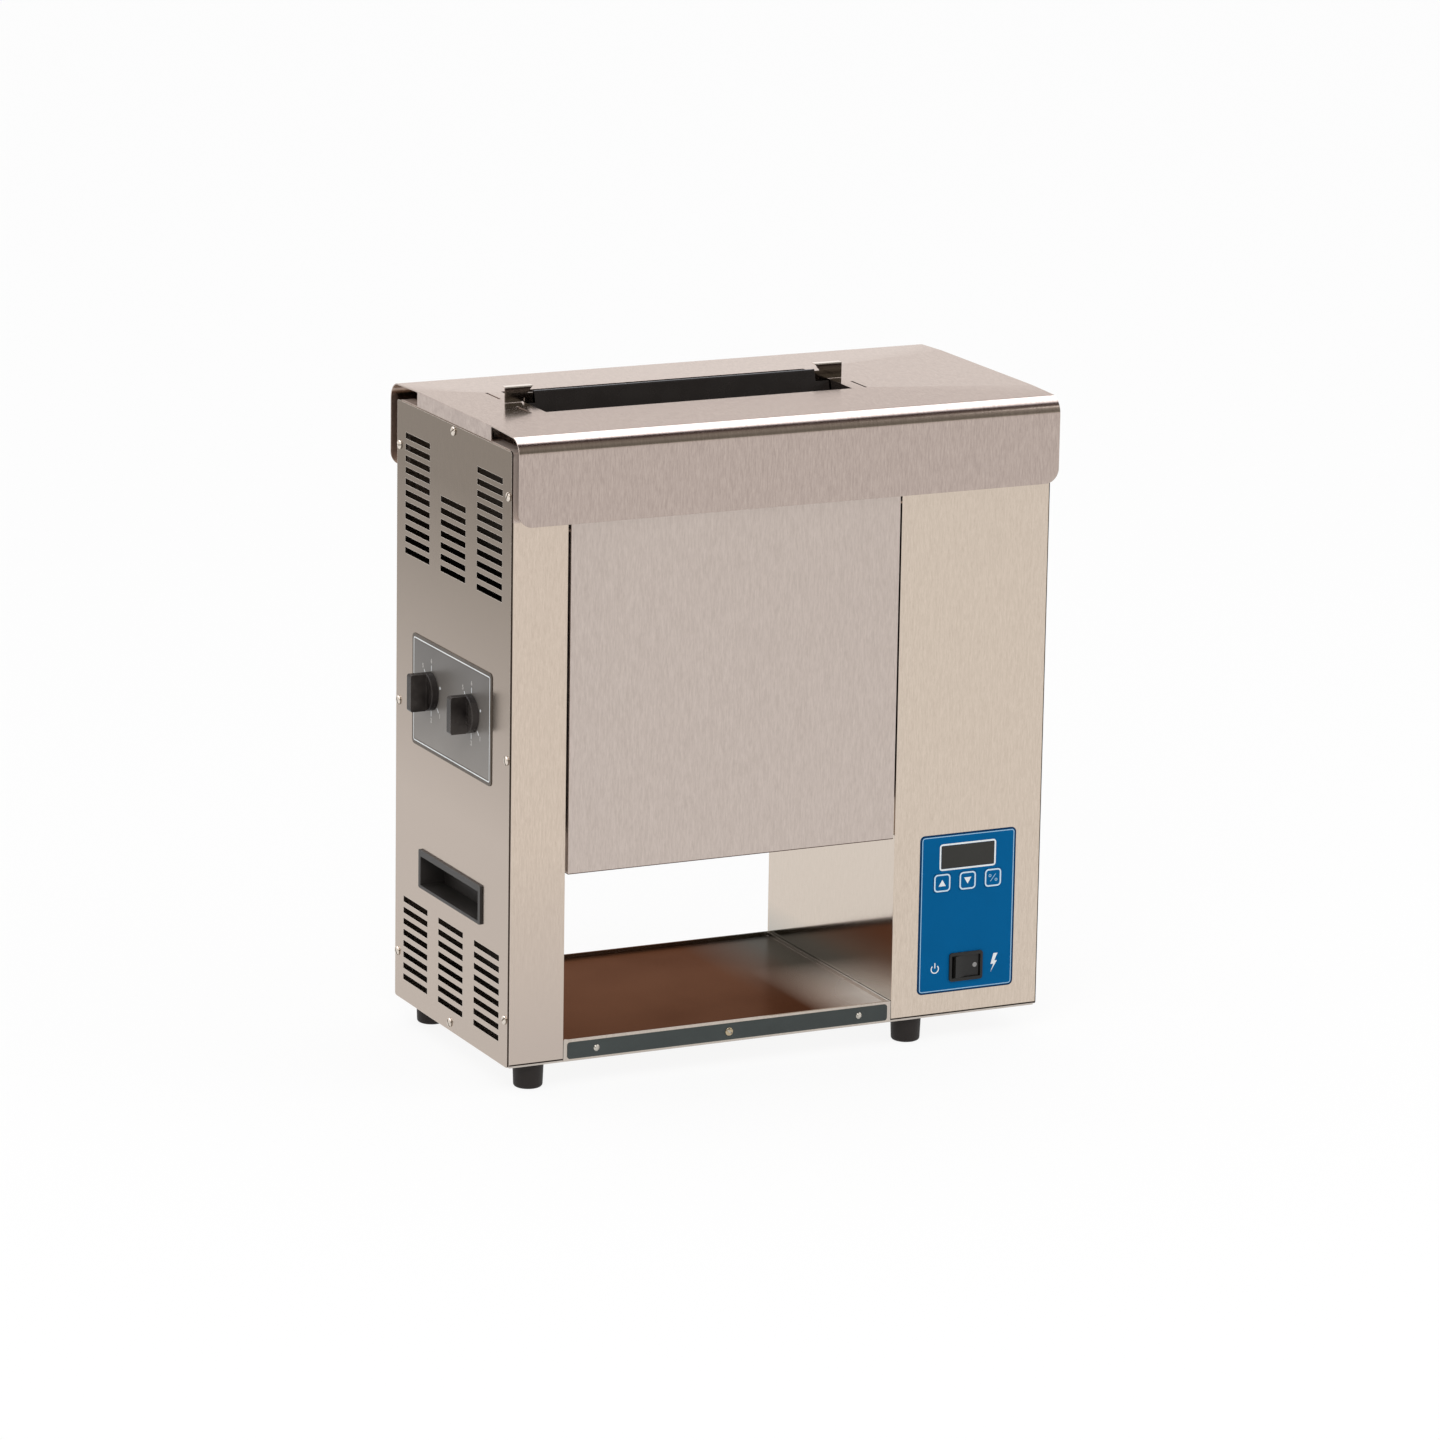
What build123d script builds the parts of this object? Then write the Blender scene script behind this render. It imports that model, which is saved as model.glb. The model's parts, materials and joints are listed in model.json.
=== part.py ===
from build123d import *
from math import asin, atan2, cos, hypot, pi, radians, sin
import os

os.makedirs("parts", exist_ok=True)

# Vertical contact toaster, in millimetres. +Z is up, the front faces -Y and the
# feet stand on z = 0. Lengths along X are first taken from the cabinet's middle.

# Cabinet
body_width = 575.0
body_depth = 277.5
body_height = 602.6
foot_height = 28.0
left_width = 58.5
right_width = 162.2
sheet = 1.2
end_sheet = 1.5
wrap_radius = 11.0
return_width = 14.0
wall_flange = 12.0
pan_wall = 15.0
pan_hem = 2.3
seat_gap = 0.3
run_gap = 0.05
cut_over = 5.0

# End panels: rows of ventilation slots and the screws round the rim
panel_inset = 1.0
panel_corner = 3.0
panel_drop = 1.8
louver_length = 60.0
louver_height = 6.0
louver_pitch = 11.4
louver_column = 87.0
louver_top_drop = 30.0
louver_low_lift = 19.6
upper_count = 11
upper_middle_count = 7
lower_count = 8
screw_inset = 7.75
screw_corner_drop = 45.0
screw_rim = 6.8
screw_head_radius = 4.5
screw_head_height = 2.3
screw_shank_radius = 2.0
screw_shank_length = 7.0
screw_slot = 0.9

# Grip pockets in the end panels
grip_length = 150.5
grip_height = 39.0
grip_lift = 144.5
grip_proud = 2.2
grip_corner = 2.0
grip_rim = 3.5
grip_brow = 5.0
grip_sill = 1.6
grip_wall = 1.2
grip_depth = 25.0

# Top cover
cover_overhang = 16.25
cover_lift = 13.4
cover_bend = 17.0
crown_rise = 3.2
crease_half = 89.0
crease_margin = 15.5
skirt_height = 84.5
skirt_corner = 14.5
slot_half = 54.0
collar_depth = 13.0
slit_start = 20.0
slit_width = 2.2
cover_lip = 12.0

# Front and rear access panels
access_gap_left = 1.7
access_gap_right = 3.8
access_proud = 3.5
access_return = 14.0
access_tab = 12.0
window_height = 186.0
pivot_drop = 10.0
pivot_setback = 8.0
pivot_radius = 2.5

# Landing tray, the strip on its lip and the strip's fasteners
tray_gap = 0.5
tray_rim = 19.5
tray_dip = 3.5
tray_hem = 2.4
lip_drop = 1.0
strip_margin = 4.5
strip_height = 16.5
strip_thick = 0.6
strip_radius = 3.0
stud_head_radius = 3.2
stud_head_height = 1.2
stud_shank_radius = 1.5
stud_margin = 31.0

# Feet and their bolts
foot_top_radius = 15.3
foot_bottom_radius = 14.2
foot_edge = 3.0
foot_left_inset = 31.0
foot_right_reach = 27.2
foot_end_inset = 20.75
foot_bore_radius = 3.4
foot_recess_radius = 8.0
foot_recess_depth = 12.0
bolt_radius = 3.0
bolt_head_radius = 5.5
bolt_head_height = 4.0
nut_radius = 5.8
nut_height = 5.0

# Dial plate, knobs and the snail cams that they turn
dial_width = 192.0
dial_height = 111.0
dial_lift = 322.5
dial_thick = 0.8
knob_spacing = 97.5
knob_rise = 6.5
knob_radius = 19.0
knob_skirt = 7.0
knob_reach = 24.6
knob_bar = 9.5
knob_round = 3.2
knob_gap = 0.5
knob_wall = 4.0
cam_shaft_radius = 4.0
cam_radius = 12.0
cam_rise = 7.0
cam_thick = 8.0
cam_inset = 17.0
cam_play = 0.3
cam_hub_radius = 7.0
follower_radius = 4.0
cam_travel_deg = 270.0
cam_back_deg = 90.0
cam_spare_deg = 15.0

# Bushes
bush_wall = 2.0
bush_flange_wall = 4.5
bush_flange = 2.0

# Platen, release sheet and its hanger
side_clear = 14.0
platen_thick = 18.0
platen_height = 385.0
platen_drop = 2.6
bracket_height = 26.0
bracket_wall = 2.5
heater_radius = 4.0
heater_bend = 28.0
heater_count = 3
heater_margin = 34.0
heater_tail = 8.0
probe_radius = 2.0
probe_depth = 45.0
probe_nut_radius = 6.0
probe_nut_height = 5.0
limit_radius = 11.0
limit_height = 12.0
limit_shift = 90.0
release_thick = 0.5
release_lift = 10.3
hanger_thick = 2.0
hanger_depth = 22.0
ear_width = 29.0
ear_foot_width = 17.0
ear_height = 15.4
ear_flange = 5.0
ear_margin = 17.0
ear_shift = 2.3
hump_share = 0.66
hanger_play = 1.0

# Belt conveyors
lane_gap = 22.0
belt_thick = 2.0
roller_radius = 15.7
roller_wall = 2.5
roller_web = 5.0
roller_drop = 42.6
roller_centres = 340.0
drive_shaft_radius = 5.0
idle_shaft_radius = 4.0
frame_sheet = 2.5
frame_gap = 2.0
frame_half = 24.0
frame_over = 20.0
tie_radius = 5.0
tie_shift = 75.0
backing_inset = 6.0

# Chain drive in the right housing
chain_pitch = 9.525
drive_teeth = 15
motor_teeth = 11
chain_offset = 14.0
band_half = 4.0
band_thick = 1.0
tooth_thick = 4.5
tooth_gap = 0.65
tooth_root = 3.2
tooth_tip = 2.8
tooth_tip_share = 0.5
tooth_root_share = 1.1
chain_roller_radius = 2.4
chain_roller_clear = 20.0
hub_radius = 9.0
hub_length = 7.0
motor_drop = 112.0
idler_drop = 8.0
idler_spread = 103.0
idler_stud_radius = 4.0
idler_flange_radius = 11.0
plate_offset = 11.0
plate_half = 40.0
plate_sheet = 3.0
gearbox_half = 34.0
gearbox_length = 34.0
motor_radius = 31.0
motor_length = 58.0
motor_shaft_radius = 5.0

# Cooling fan behind the right end panel
fan_size = 80.0
fan_depth = 25.0
fan_bore_radius = 37.5
fan_lift = 66.0
fan_hub_radius = 15.0
fan_blade_reach = 36.0
fan_blades = 7
fan_blade_thick = 1.6
fan_blade_root = 2.0
fan_strut = 5.0
fan_strut_thick = 4.0
fan_pin_radius = 2.0
fan_blade_pitch = 35.0

# Control overlay, keys, display and switch on the right front
overlay_width = 106.0
overlay_height = 162.0
overlay_inset = 27.8
overlay_lift = 22.0
overlay_thick = 0.5
overlay_radius = 5.0
display_width = 58.5
display_height = 23.2
display_rise = 138.4
display_shift = -0.3
display_proud = 0.3
key_size = 18.7
key_radius = 3.0
key_pitch = 28.2
key_rise = 112.6
key_proud = 0.4
key_flange = 1.5
key_travel = 0.5
key_flange_thick = 1.0
board_setback = 12.0
board_thick = 1.6
board_margin = 5.0
board_post_radius = 3.0
board_post_inset = 4.5
tact_half = 3.0
switch_width = 36.7
switch_height = 29.1
switch_rise = 25.0
switch_proud = 1.8
switch_rim = 1.5
switch_radius = 2.8
switch_depth = 28.0
switch_back = 3.0
rocker_length = 27.2
rocker_height = 22.0
rocker_tip = 7.5
rocker_valley = 5.4
rocker_back = 7.0
rocker_tilt_deg = 8.0
rocker_pin_radius = 1.5

# Supply in the right housing
transformer_length = 66.0
transformer_depth = 56.0
transformer_height = 55.0
transformer_core = 24.0
transformer_flange = 2.0
terminal_length = 60.0
terminal_depth = 22.0
terminal_height = 16.0
terminal_ways = 6
terminal_post_radius = 2.5
terminal_post_height = 4.0
supply_gap = 12.0
gland_radius = 11.0
gland_bore_radius = 5.0
gland_nut_radius = 14.0
gland_nut_length = 6.0
gland_nose = 5.0
gland_lift = 60.0
gland_inset = 40.0

# Places that follow from the sizes above
half_width = body_width / 2
half_depth = body_depth / 2
base_z = foot_height
top_z = base_z + body_height
pan_floor = base_z + sheet
inner_end = half_width - end_sheet
inner_front = half_depth - sheet
chamber_left = -half_width + left_width
chamber_right = half_width - right_width
belt_left = chamber_left + side_clear
belt_right = chamber_right - side_clear
lane_middle = (belt_left + belt_right) / 2
cover_rim = top_z + cover_lift
crown_z = cover_rim + crown_rise
skirt_z = cover_rim - skirt_height
cover_half = half_depth + cover_overhang
crease_left = belt_left - crease_margin
crease_right = belt_right + crease_margin
pivot_y = half_depth + access_proud - pivot_setback
pivot_z = skirt_z - pivot_drop
window_top = base_z + window_height
rim_z = base_z + tray_rim
platen_top = top_z - platen_drop
platen_low = platen_top - platen_height
belt_inner = roller_radius + seat_gap
belt_outer = belt_inner + belt_thick
release_half = platen_thick / 2 + seat_gap + release_thick
conveyor_y = release_half + lane_gap + belt_outer
drive_z = top_z - roller_drop
idle_z = drive_z - roller_centres
knob_z = base_z + dial_lift + knob_rise
knob_y = knob_spacing / 2
follower_y = knob_y + cam_radius + follower_radius + cam_play
bush_radius = cam_shaft_radius + bush_wall
drive_bush_radius = drive_shaft_radius + bush_wall
chain_x = chamber_right + sheet + chain_offset
motor_z = top_z - motor_drop
idler_y = -idler_spread
idler_z = drive_z - idler_drop
plate_x = chain_x + plate_offset
overlay_right = half_width - overlay_inset
overlay_left = overlay_right - overlay_width
overlay_middle = (overlay_left + overlay_right) / 2
overlay_low = base_z + overlay_lift
overlay_y = half_depth + overlay_thick
display_x = overlay_middle + display_shift
display_z = overlay_low + display_rise
key_z = overlay_low + key_rise
switch_z = overlay_low + switch_rise
origin_shift = (knob_reach - grip_proud) / 2


def block(x0, x1, y0, y1, z0, z1):
    middle = Pos((x0 + x1) / 2, (y0 + y1) / 2, (z0 + z1) / 2)
    return middle * Box(x1 - x0, y1 - y0, z1 - z0)


def rod_x(radius, x0, x1, y, z):
    return Pos((x0 + x1) / 2, y, z) * Rot(0, 90, 0) * Cylinder(radius, x1 - x0)


def rod_y(radius, x, y0, y1, z):
    return Pos(x, (y0 + y1) / 2, z) * Rot(90, 0, 0) * Cylinder(radius, y1 - y0)


def rod_z(radius, x, y, z0, z1):
    return Pos(x, y, (z0 + z1) / 2) * Cylinder(radius, z1 - z0)


def hex_rod(radius, x, y, z0, z1):
    face = Plane.XY.offset(z0) * Pos(x, y) * RegularPolygon(radius, 6)
    return extrude(face, amount=z1 - z0)


def across_x(face, x0, x1):
    """A face drawn in (y, z), made solid from x0 to x1."""
    return extrude(Plane.YZ.offset(x0) * face, amount=x1 - x0)


def end_plate(y0, y1, z0, z1, radius, x0, x1):
    face = Pos((y0 + y1) / 2, (z0 + z1) / 2) * RectangleRounded(y1 - y0, z1 - z0, radius)
    return across_x(face, x0, x1)


def front_plate(x0, x1, z0, z1, radius, y_front, y_back):
    face = Pos((x0 + x1) / 2, (z0 + z1) / 2) * RectangleRounded(x1 - x0, z1 - z0, radius)
    return extrude(Plane.XZ.offset(-y_back) * face, amount=y_back - y_front)


def polygon(points):
    return make_face(Polyline(*points, close=True))


def other_side(shape):
    """Front to rear, or rear to front."""
    return mirror(shape, Plane.XZ)


def other_end(shape):
    """Left end to right end."""
    return mirror(shape, Plane.YZ)


def write(name, *solids):
    whole = Compound(children=[Pos(origin_shift, 0, 0) * s for one in solids for s in one.solids()])
    export_step(whole, "parts/" + name + ".step")


# Housings


def arch(x0, x1, inset, low_z):
    """A block with its two top edges rounded, as deep as a housing less the inset."""
    half = half_depth - inset
    body = block(x0, x1, -half, half, low_z, top_z - inset)
    top_edges = body.edges().filter_by(Axis.X).group_by(Axis.Z)[-1]
    return fillet(top_edges, wrap_radius - min(inset, wrap_radius / 2))


def housing(x_end, x_wall, end_side):
    low, high = min(x_end, x_wall), max(x_end, x_wall)
    shell = arch(low, high, 0, base_z) - arch(low - cut_over, high + cut_over, sheet, base_z - cut_over)
    ring_inner = x_end + end_side * sheet
    ring = arch(min(x_end, ring_inner), max(x_end, ring_inner), 0, base_z)
    opening = arch(ring_inner - cut_over, ring_inner + cut_over, return_width, base_z - cut_over)
    return shell + (ring - opening)


def screw_places():
    y = half_depth - screw_inset
    low = base_z + screw_corner_drop
    high = top_z - screw_corner_drop
    sides = [(s * y, z) for s in (-1, 1) for z in (low, (low + high) / 2, high)]
    return sides + [(0, top_z - screw_rim), (0, base_z + screw_rim)]


def screw_holes(x):
    return [
        rod_x(screw_shank_radius + run_gap, x - cut_over, x + cut_over, y, z)
        for y, z in screw_places()
    ]


def louver_columns():
    """Middle y, lowest slot's middle z and number of slots of each column."""
    low = base_z + louver_low_lift + louver_height / 2
    top = top_z - louver_top_drop - louver_height / 2
    high = top - (upper_count - 1) * louver_pitch
    columns = [(s * louver_column, low, lower_count) for s in (-1, 0, 1)]
    columns += [(s * louver_column, high, upper_count) for s in (-1, 1)]
    return columns + [(0, high, upper_middle_count)]


def louver_cuts():
    face = Sketch()
    for y, z, count in louver_columns():
        for n in range(count):
            face += Pos(y, z + n * louver_pitch) * Rectangle(louver_length, louver_height)
    return across_x(face, -half_width - cut_over, -inner_end + cut_over)


def end_panel():
    """The left end panel, without the holes of the dial."""
    half = half_depth - panel_inset
    panel = end_plate(
        -half, half, base_z - panel_drop, top_z - panel_inset, panel_corner, -half_width, -inner_end
    )
    grip_z = base_z + grip_lift
    hole = block(
        -half_width - cut_over, -inner_end + cut_over,
        -grip_length / 2 + grip_rim, grip_length / 2 - grip_rim,
        grip_z - grip_height / 2 + grip_sill, grip_z + grip_height / 2 - grip_brow,
    )
    return panel - louver_cuts() - hole - screw_holes(-half_width)


def left_end_panel():
    reach = bush_radius + run_gap
    holes = [
        rod_x(reach, -half_width - cut_over, -inner_end + cut_over, s * knob_y, knob_z)
        for s in (-1, 1)
    ]
    return end_panel() - holes


def end_screws():
    screws = []
    for y, z in screw_places():
        head = Pos(-half_width - screw_head_height / 2, y, z) * Rot(0, -90, 0) * Cone(
            screw_head_radius, screw_head_radius / 2, screw_head_height
        )
        shank = rod_x(screw_shank_radius, -half_width, -half_width + screw_shank_length, y, z)
        slot = block(
            -half_width - screw_head_height, -half_width - screw_head_height / 2,
            y - screw_head_radius, y + screw_head_radius, z - screw_slot / 2, z + screw_slot / 2,
        )
        screws.append(head + shank - slot)
    return screws


def grip_pocket():
    """A cup with a bezel, moulded to fill the left end panel's hole."""
    z = base_z + grip_lift
    half_y, half_z = grip_length / 2, grip_height / 2
    bezel = end_plate(
        -half_y, half_y, z - half_z, z + half_z, grip_corner, -half_width - grip_proud, -half_width
    )
    fit_y = half_y - grip_rim - seat_gap
    low, high = z - half_z + grip_sill + seat_gap, z + half_z - grip_brow - seat_gap
    cup = block(-half_width, -half_width + grip_depth, -fit_y, fit_y, low, high)
    hollow = block(
        -half_width - grip_proud - cut_over, -half_width + grip_depth - grip_wall,
        -fit_y + grip_wall, fit_y - grip_wall, low + grip_wall, high - grip_wall,
    )
    return bezel + cup - hollow


# Chamber walls, base pan and rails


def chamber_wall(x_wall, side):
    """A wall whose face is at x_wall, with its flanges turned into the housing at side."""
    outer = x_wall + side * sheet
    flange = x_wall + side * wall_flange
    low, high = pan_floor, top_z - sheet
    wall = arch(min(x_wall, outer), max(x_wall, outer), sheet, low)
    for s in (-1, 1):
        y0, y1 = sorted((s * inner_front, s * (inner_front - sheet)))
        wall += block(min(x_wall, flange), max(x_wall, flange), y0, y1, low + pan_wall, high - wrap_radius)
    for s in (-1, 1):
        wall -= rod_x(pivot_radius + run_gap, x_wall - cut_over, x_wall + cut_over, s * pivot_y, pivot_z)
        wall -= rod_x(
            drive_bush_radius + run_gap, x_wall - cut_over, x_wall + cut_over, s * conveyor_y, drive_z
        )
    return wall


def follower_slot(x_wall):
    """The arc that a follower pin sweeps as its conveyor swings, with room round it."""
    room = follower_radius + 2 * cam_play
    inward = cam_rise * cam_back_deg / cam_travel_deg
    slot = block(
        x_wall - cut_over, x_wall + cut_over,
        follower_y - inward - room, follower_y - inward + cam_rise + room, knob_z - room, knob_z + room,
    )
    return fillet(slot.edges().filter_by(Axis.X), room / 2)


def left_wall():
    wall = chamber_wall(chamber_left, -1)
    for s in (-1, 1):
        wall -= rod_x(
            bush_radius + run_gap, chamber_left - cut_over, chamber_left + cut_over, s * knob_y, knob_z
        )
    slot = follower_slot(chamber_left)
    return wall - slot - other_side(slot)


def heater_levels():
    """The lower end of each heater's two tails."""
    room = platen_height - 2 * heater_margin - 2 * heater_bend
    return [platen_low + heater_margin + n * room / (heater_count - 1) for n in range(heater_count)]


def probe_z():
    levels = heater_levels()
    return (levels[0] + 2 * heater_bend + levels[1]) / 2


def right_wall():
    wall = chamber_wall(chamber_right, 1)
    room = heater_radius + probe_radius
    for z in heater_levels():
        for tail in (z, z + 2 * heater_bend):
            wall -= rod_x(room, chamber_right - cut_over, chamber_right + cut_over, 0, tail)
    return wall - rod_x(
        probe_radius + seat_gap, chamber_right - cut_over, chamber_right + cut_over, 0, probe_z()
    )


def base_pan():
    """A tray of sheet whose rim also shows as a narrow hem below the housings."""
    half_x, half_y = inner_end - sheet, inner_front - seat_gap
    hem_z = base_z - pan_hem
    pan = block(-half_x, half_x, -half_y, half_y, hem_z, pan_floor + pan_wall)
    pan -= block(
        -half_x + sheet, half_x - sheet, -half_y + sheet, half_y - sheet, hem_z - cut_over, base_z
    )
    pan -= block(
        -half_x + sheet, half_x - sheet, -half_y + sheet, half_y - sheet,
        pan_floor, pan_floor + pan_wall + cut_over,
    )
    pan -= block(
        chamber_left - wall_flange, chamber_right + wall_flange, -half_depth, half_depth,
        pan_floor, pan_floor + pan_wall + cut_over,
    )
    for x, y in foot_places():
        pan -= rod_z(foot_bore_radius, x, y, base_z - cut_over, pan_floor + cut_over)
    for side in (-1, 1):
        pan -= rod_x(
            screw_shank_radius + run_gap, side * inner_end - cut_over, side * inner_end + cut_over,
            0, base_z + screw_rim,
        )
    return pan


def upper_rails():
    """Two angles between the chamber walls, under the skirts."""
    rails = []
    high = top_z - wrap_radius
    outer = inner_front - wall_flange
    for s in (-1, 1):
        y0, y1 = sorted((s * outer, s * (outer - pan_wall)))
        rail = block(chamber_left, chamber_right, y0, y1, high - pan_wall, high)
        y0, y1 = sorted((s * (outer - sheet), s * (outer - pan_wall - cut_over)))
        rail -= block(
            chamber_left - cut_over, chamber_right + cut_over, y0, y1,
            high - pan_wall - cut_over, high - sheet,
        )
        rails.append(rail)
    return rails


# Feet


def foot_places():
    y = half_depth - foot_end_inset
    left = -half_width + foot_left_inset
    right = chamber_right + foot_right_reach
    return [(x, s * y) for x in (left, right) for s in (-1, 1)]


def feet():
    solids = []
    for x, y in foot_places():
        foot = Pos(x, y, foot_height / 2) * Cone(foot_bottom_radius, foot_top_radius, foot_height)
        foot = fillet(foot.edges().group_by(Axis.Z)[0], foot_edge)
        foot -= rod_z(foot_bore_radius, x, y, -cut_over, foot_height + cut_over)
        foot -= rod_z(foot_recess_radius, x, y, -cut_over, foot_recess_depth)
        solids.append(foot)
    return solids


def foot_bolts():
    solids = []
    for x, y in foot_places():
        top = pan_floor + nut_height + bolt_radius
        head_z = foot_recess_depth - bolt_head_height
        bolt = rod_z(bolt_head_radius, x, y, head_z, foot_recess_depth)
        bolt += rod_z(bolt_radius, x, y, foot_recess_depth, top)
        bolt += hex_rod(nut_radius, x, y, pan_floor, pan_floor + nut_height)
        solids.append(bolt)
    return solids


# Top cover


def cover_profile(inset, low_z):
    half = cover_half - inset
    rim, crown = cover_rim - inset, crown_z - inset
    face = polygon(
        [(-half, low_z), (-half, rim), (-slot_half, crown), (slot_half, crown), (half, rim), (half, low_z)]
    )
    corners = face.vertices().group_by(Axis.X)
    tops = [group.sort_by(Axis.Y)[-1] for group in (corners[0], corners[-1])]
    return fillet(tops, cover_bend - inset)


def crowned(inset, low_z, reach):
    """The roof's prism, planed down from the creases to both ends."""
    body = across_x(cover_profile(inset, low_z), -half_width - reach, half_width + reach)
    shoulder = cover_half - cover_bend
    end_z = crown_z - crown_rise * (crease_half - slot_half) / (shoulder - slot_half)
    for crease, end in ((crease_left, -half_width), (crease_right, half_width)):
        slope = (end_z - crown_z) / (end - crease)
        far = end + (end - crease)
        far_z = crown_z + slope * (far - crease)
        wedge = polygon(
            [
                (crease, crown_z - inset), (far, far_z - inset),
                (far, crown_z + cut_over), (crease, crown_z + cut_over),
            ]
        )
        cut = extrude(Plane.XZ.offset(-cover_half) * wedge, amount=2 * cover_half)
        body -= cut
    return body


def cover_slits():
    length = slot_half - slit_start
    middle = slit_start + length / 2
    slits = []
    for x in (crease_left, crease_right):
        for s in (-1, 1):
            slits.append(
                block(
                    x - slit_width / 2, x + slit_width / 2,
                    s * middle - length / 2, s * middle + length / 2,
                    crown_z - collar_depth, crown_z + cut_over,
                )
            )
    return slits


def top_cover():
    shell = crowned(0, skirt_z, 0) - crowned(sheet, skirt_z - cut_over, cut_over)
    corner_edges = [
        e for e in shell.edges().filter_by(Axis.Y)
        if abs(e.center().Z - skirt_z) < sheet and abs(abs(e.center().X) - half_width) < sheet
    ]
    shell = fillet(corner_edges, skirt_corner)
    collar = block(
        belt_left - sheet, belt_right + sheet, -slot_half - sheet, slot_half + sheet,
        crown_z - collar_depth, crown_z - sheet / 2,
    )
    shell = shell + collar
    shell -= block(
        belt_left, belt_right, -slot_half, slot_half, crown_z - collar_depth - cut_over, crown_z + cut_over
    )
    lip_z = top_z + seat_gap
    roof = crowned(sheet / 2, lip_z - cut_over, cut_over)
    for side in (-1, 1):
        outer, inner = side * half_width, side * (half_width - sheet)
        reach = side * (half_width - cover_lip)
        flange = block(min(outer, inner), max(outer, inner), -crease_half, crease_half, lip_z, crown_z)
        lip = block(min(outer, reach), max(outer, reach), -crease_half, crease_half, lip_z, lip_z + sheet)
        shell += (flange & roof) + lip
    return shell - cover_slits()


# Access panels


def access_panel():
    """The front panel: a face with its two sides turned back, on two stub pins."""
    left, right = chamber_left + access_gap_left, chamber_right - access_gap_right
    face_y = half_depth + access_proud
    back_y = face_y - access_return
    top = pivot_z + access_tab
    panel = block(left, right, -face_y, -back_y, window_top, top)
    panel -= block(
        left + sheet, right - sheet, -face_y + sheet, -back_y + cut_over,
        window_top + sheet, top + cut_over,
    )
    panel += rod_x(pivot_radius, chamber_left - 2 * sheet, left, -pivot_y, pivot_z)
    return panel + rod_x(pivot_radius, right, chamber_right + 2 * sheet, -pivot_y, pivot_z)


# Landing tray


def landing_tray():
    left, right = chamber_left + tray_gap, chamber_right - tray_gap
    floor = rim_z - tray_dip
    rear = half_depth - tray_hem
    tray = block(left, right, -half_depth, rear, floor - sheet, rim_z)
    tray -= fillet(
        block(
            left + tray_hem, right - tray_hem, -half_depth + tray_hem, rear - tray_hem,
            floor, rim_z + cut_over,
        ).edges().filter_by(Axis.Z),
        tray_hem * 2,
    )
    lip = block(left, right, -half_depth, -half_depth + sheet, base_z - lip_drop, floor)
    low = pan_floor + seat_gap
    sides = [
        block(min(x, x + s * sheet), max(x, x + s * sheet), -half_depth, rear, low, floor)
        for x, s in ((left, 1), (right, -1))
    ]
    tray = tray + lip + sides
    for x in stud_places():
        tray -= rod_y(
            stud_shank_radius + run_gap, x, -half_depth - cut_over, -half_depth + cut_over, strip_middle()
        )
    return tray


def strip_middle():
    return base_z + (tray_rim - lip_drop) / 2 - lip_drop / 2


def stud_places():
    left = chamber_left + stud_margin + strip_margin
    right = chamber_right - stud_margin - strip_margin
    return [left, (left + right) / 2, right]


def lip_strip():
    z = strip_middle()
    strip = front_plate(
        chamber_left + strip_margin, chamber_right - strip_margin,
        z - strip_height / 2, z + strip_height / 2, strip_radius, -half_depth - strip_thick, -half_depth,
    )
    for x in stud_places():
        strip -= rod_y(stud_shank_radius + run_gap, x, -half_depth - cut_over, -half_depth + cut_over, z)
    return strip


def strip_studs():
    studs = []
    face = -half_depth - strip_thick
    for x in stud_places():
        head = Pos(x, face - stud_head_height / 2, strip_middle()) * Rot(90, 0, 0) * Cone(
            stud_head_radius, stud_head_radius / 2, stud_head_height
        )
        studs.append(head + rod_y(stud_shank_radius, x, face, -half_depth + 2 * sheet, strip_middle()))
    return studs


# Dial plate, knobs and cam shafts


def dial_plate():
    z = base_z + dial_lift
    plate = end_plate(
        -dial_width / 2, dial_width / 2, z - dial_height / 2, z + dial_height / 2, overlay_radius,
        -half_width - dial_thick, -half_width,
    )
    reach = cam_shaft_radius + seat_gap
    holes = [
        rod_x(reach, -half_width - cut_over, -half_width + cut_over, s * knob_y, knob_z) for s in (-1, 1)
    ]
    return plate - holes


def knob(y):
    back = -half_width - dial_thick - knob_gap
    front = -half_width - knob_reach
    skirt = rod_x(knob_radius, back - knob_skirt, back, y, knob_z)
    skirt = chamfer(skirt.edges().group_by(Axis.X)[0], knob_gap)
    bar = block(
        front, back - knob_skirt, y - knob_bar / 2, y + knob_bar / 2,
        knob_z - knob_radius, knob_z + knob_radius,
    )
    bar = fillet(bar.edges().filter_by(Axis.Y).group_by(Axis.X)[0], knob_round)
    bar = bar & rod_x(knob_radius, front - cut_over, back, y, knob_z)
    bore = rod_x(cam_shaft_radius + run_gap, front + knob_wall, back + cut_over, y, knob_z)
    return skirt + bar - bore


def snail(y, facing_deg):
    """A cam whose radius grows evenly with the knob's turn, where it faces the follower."""
    growth = cam_rise / cam_travel_deg
    first = -cam_back_deg - cam_spare_deg
    last = cam_travel_deg - cam_back_deg + cam_spare_deg
    steps = 24
    points = []
    for n in range(steps + 1):
        turn = first + (last - first) * n / steps
        radius = cam_radius + growth * turn
        angle = radians(facing_deg - turn)
        points.append((y + radius * cos(angle), knob_z + radius * sin(angle)))
    return make_face(Curve() + [Spline(*points), Line(points[-1], points[0])])


def cam_middle():
    return chamber_left - cam_inset


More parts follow.
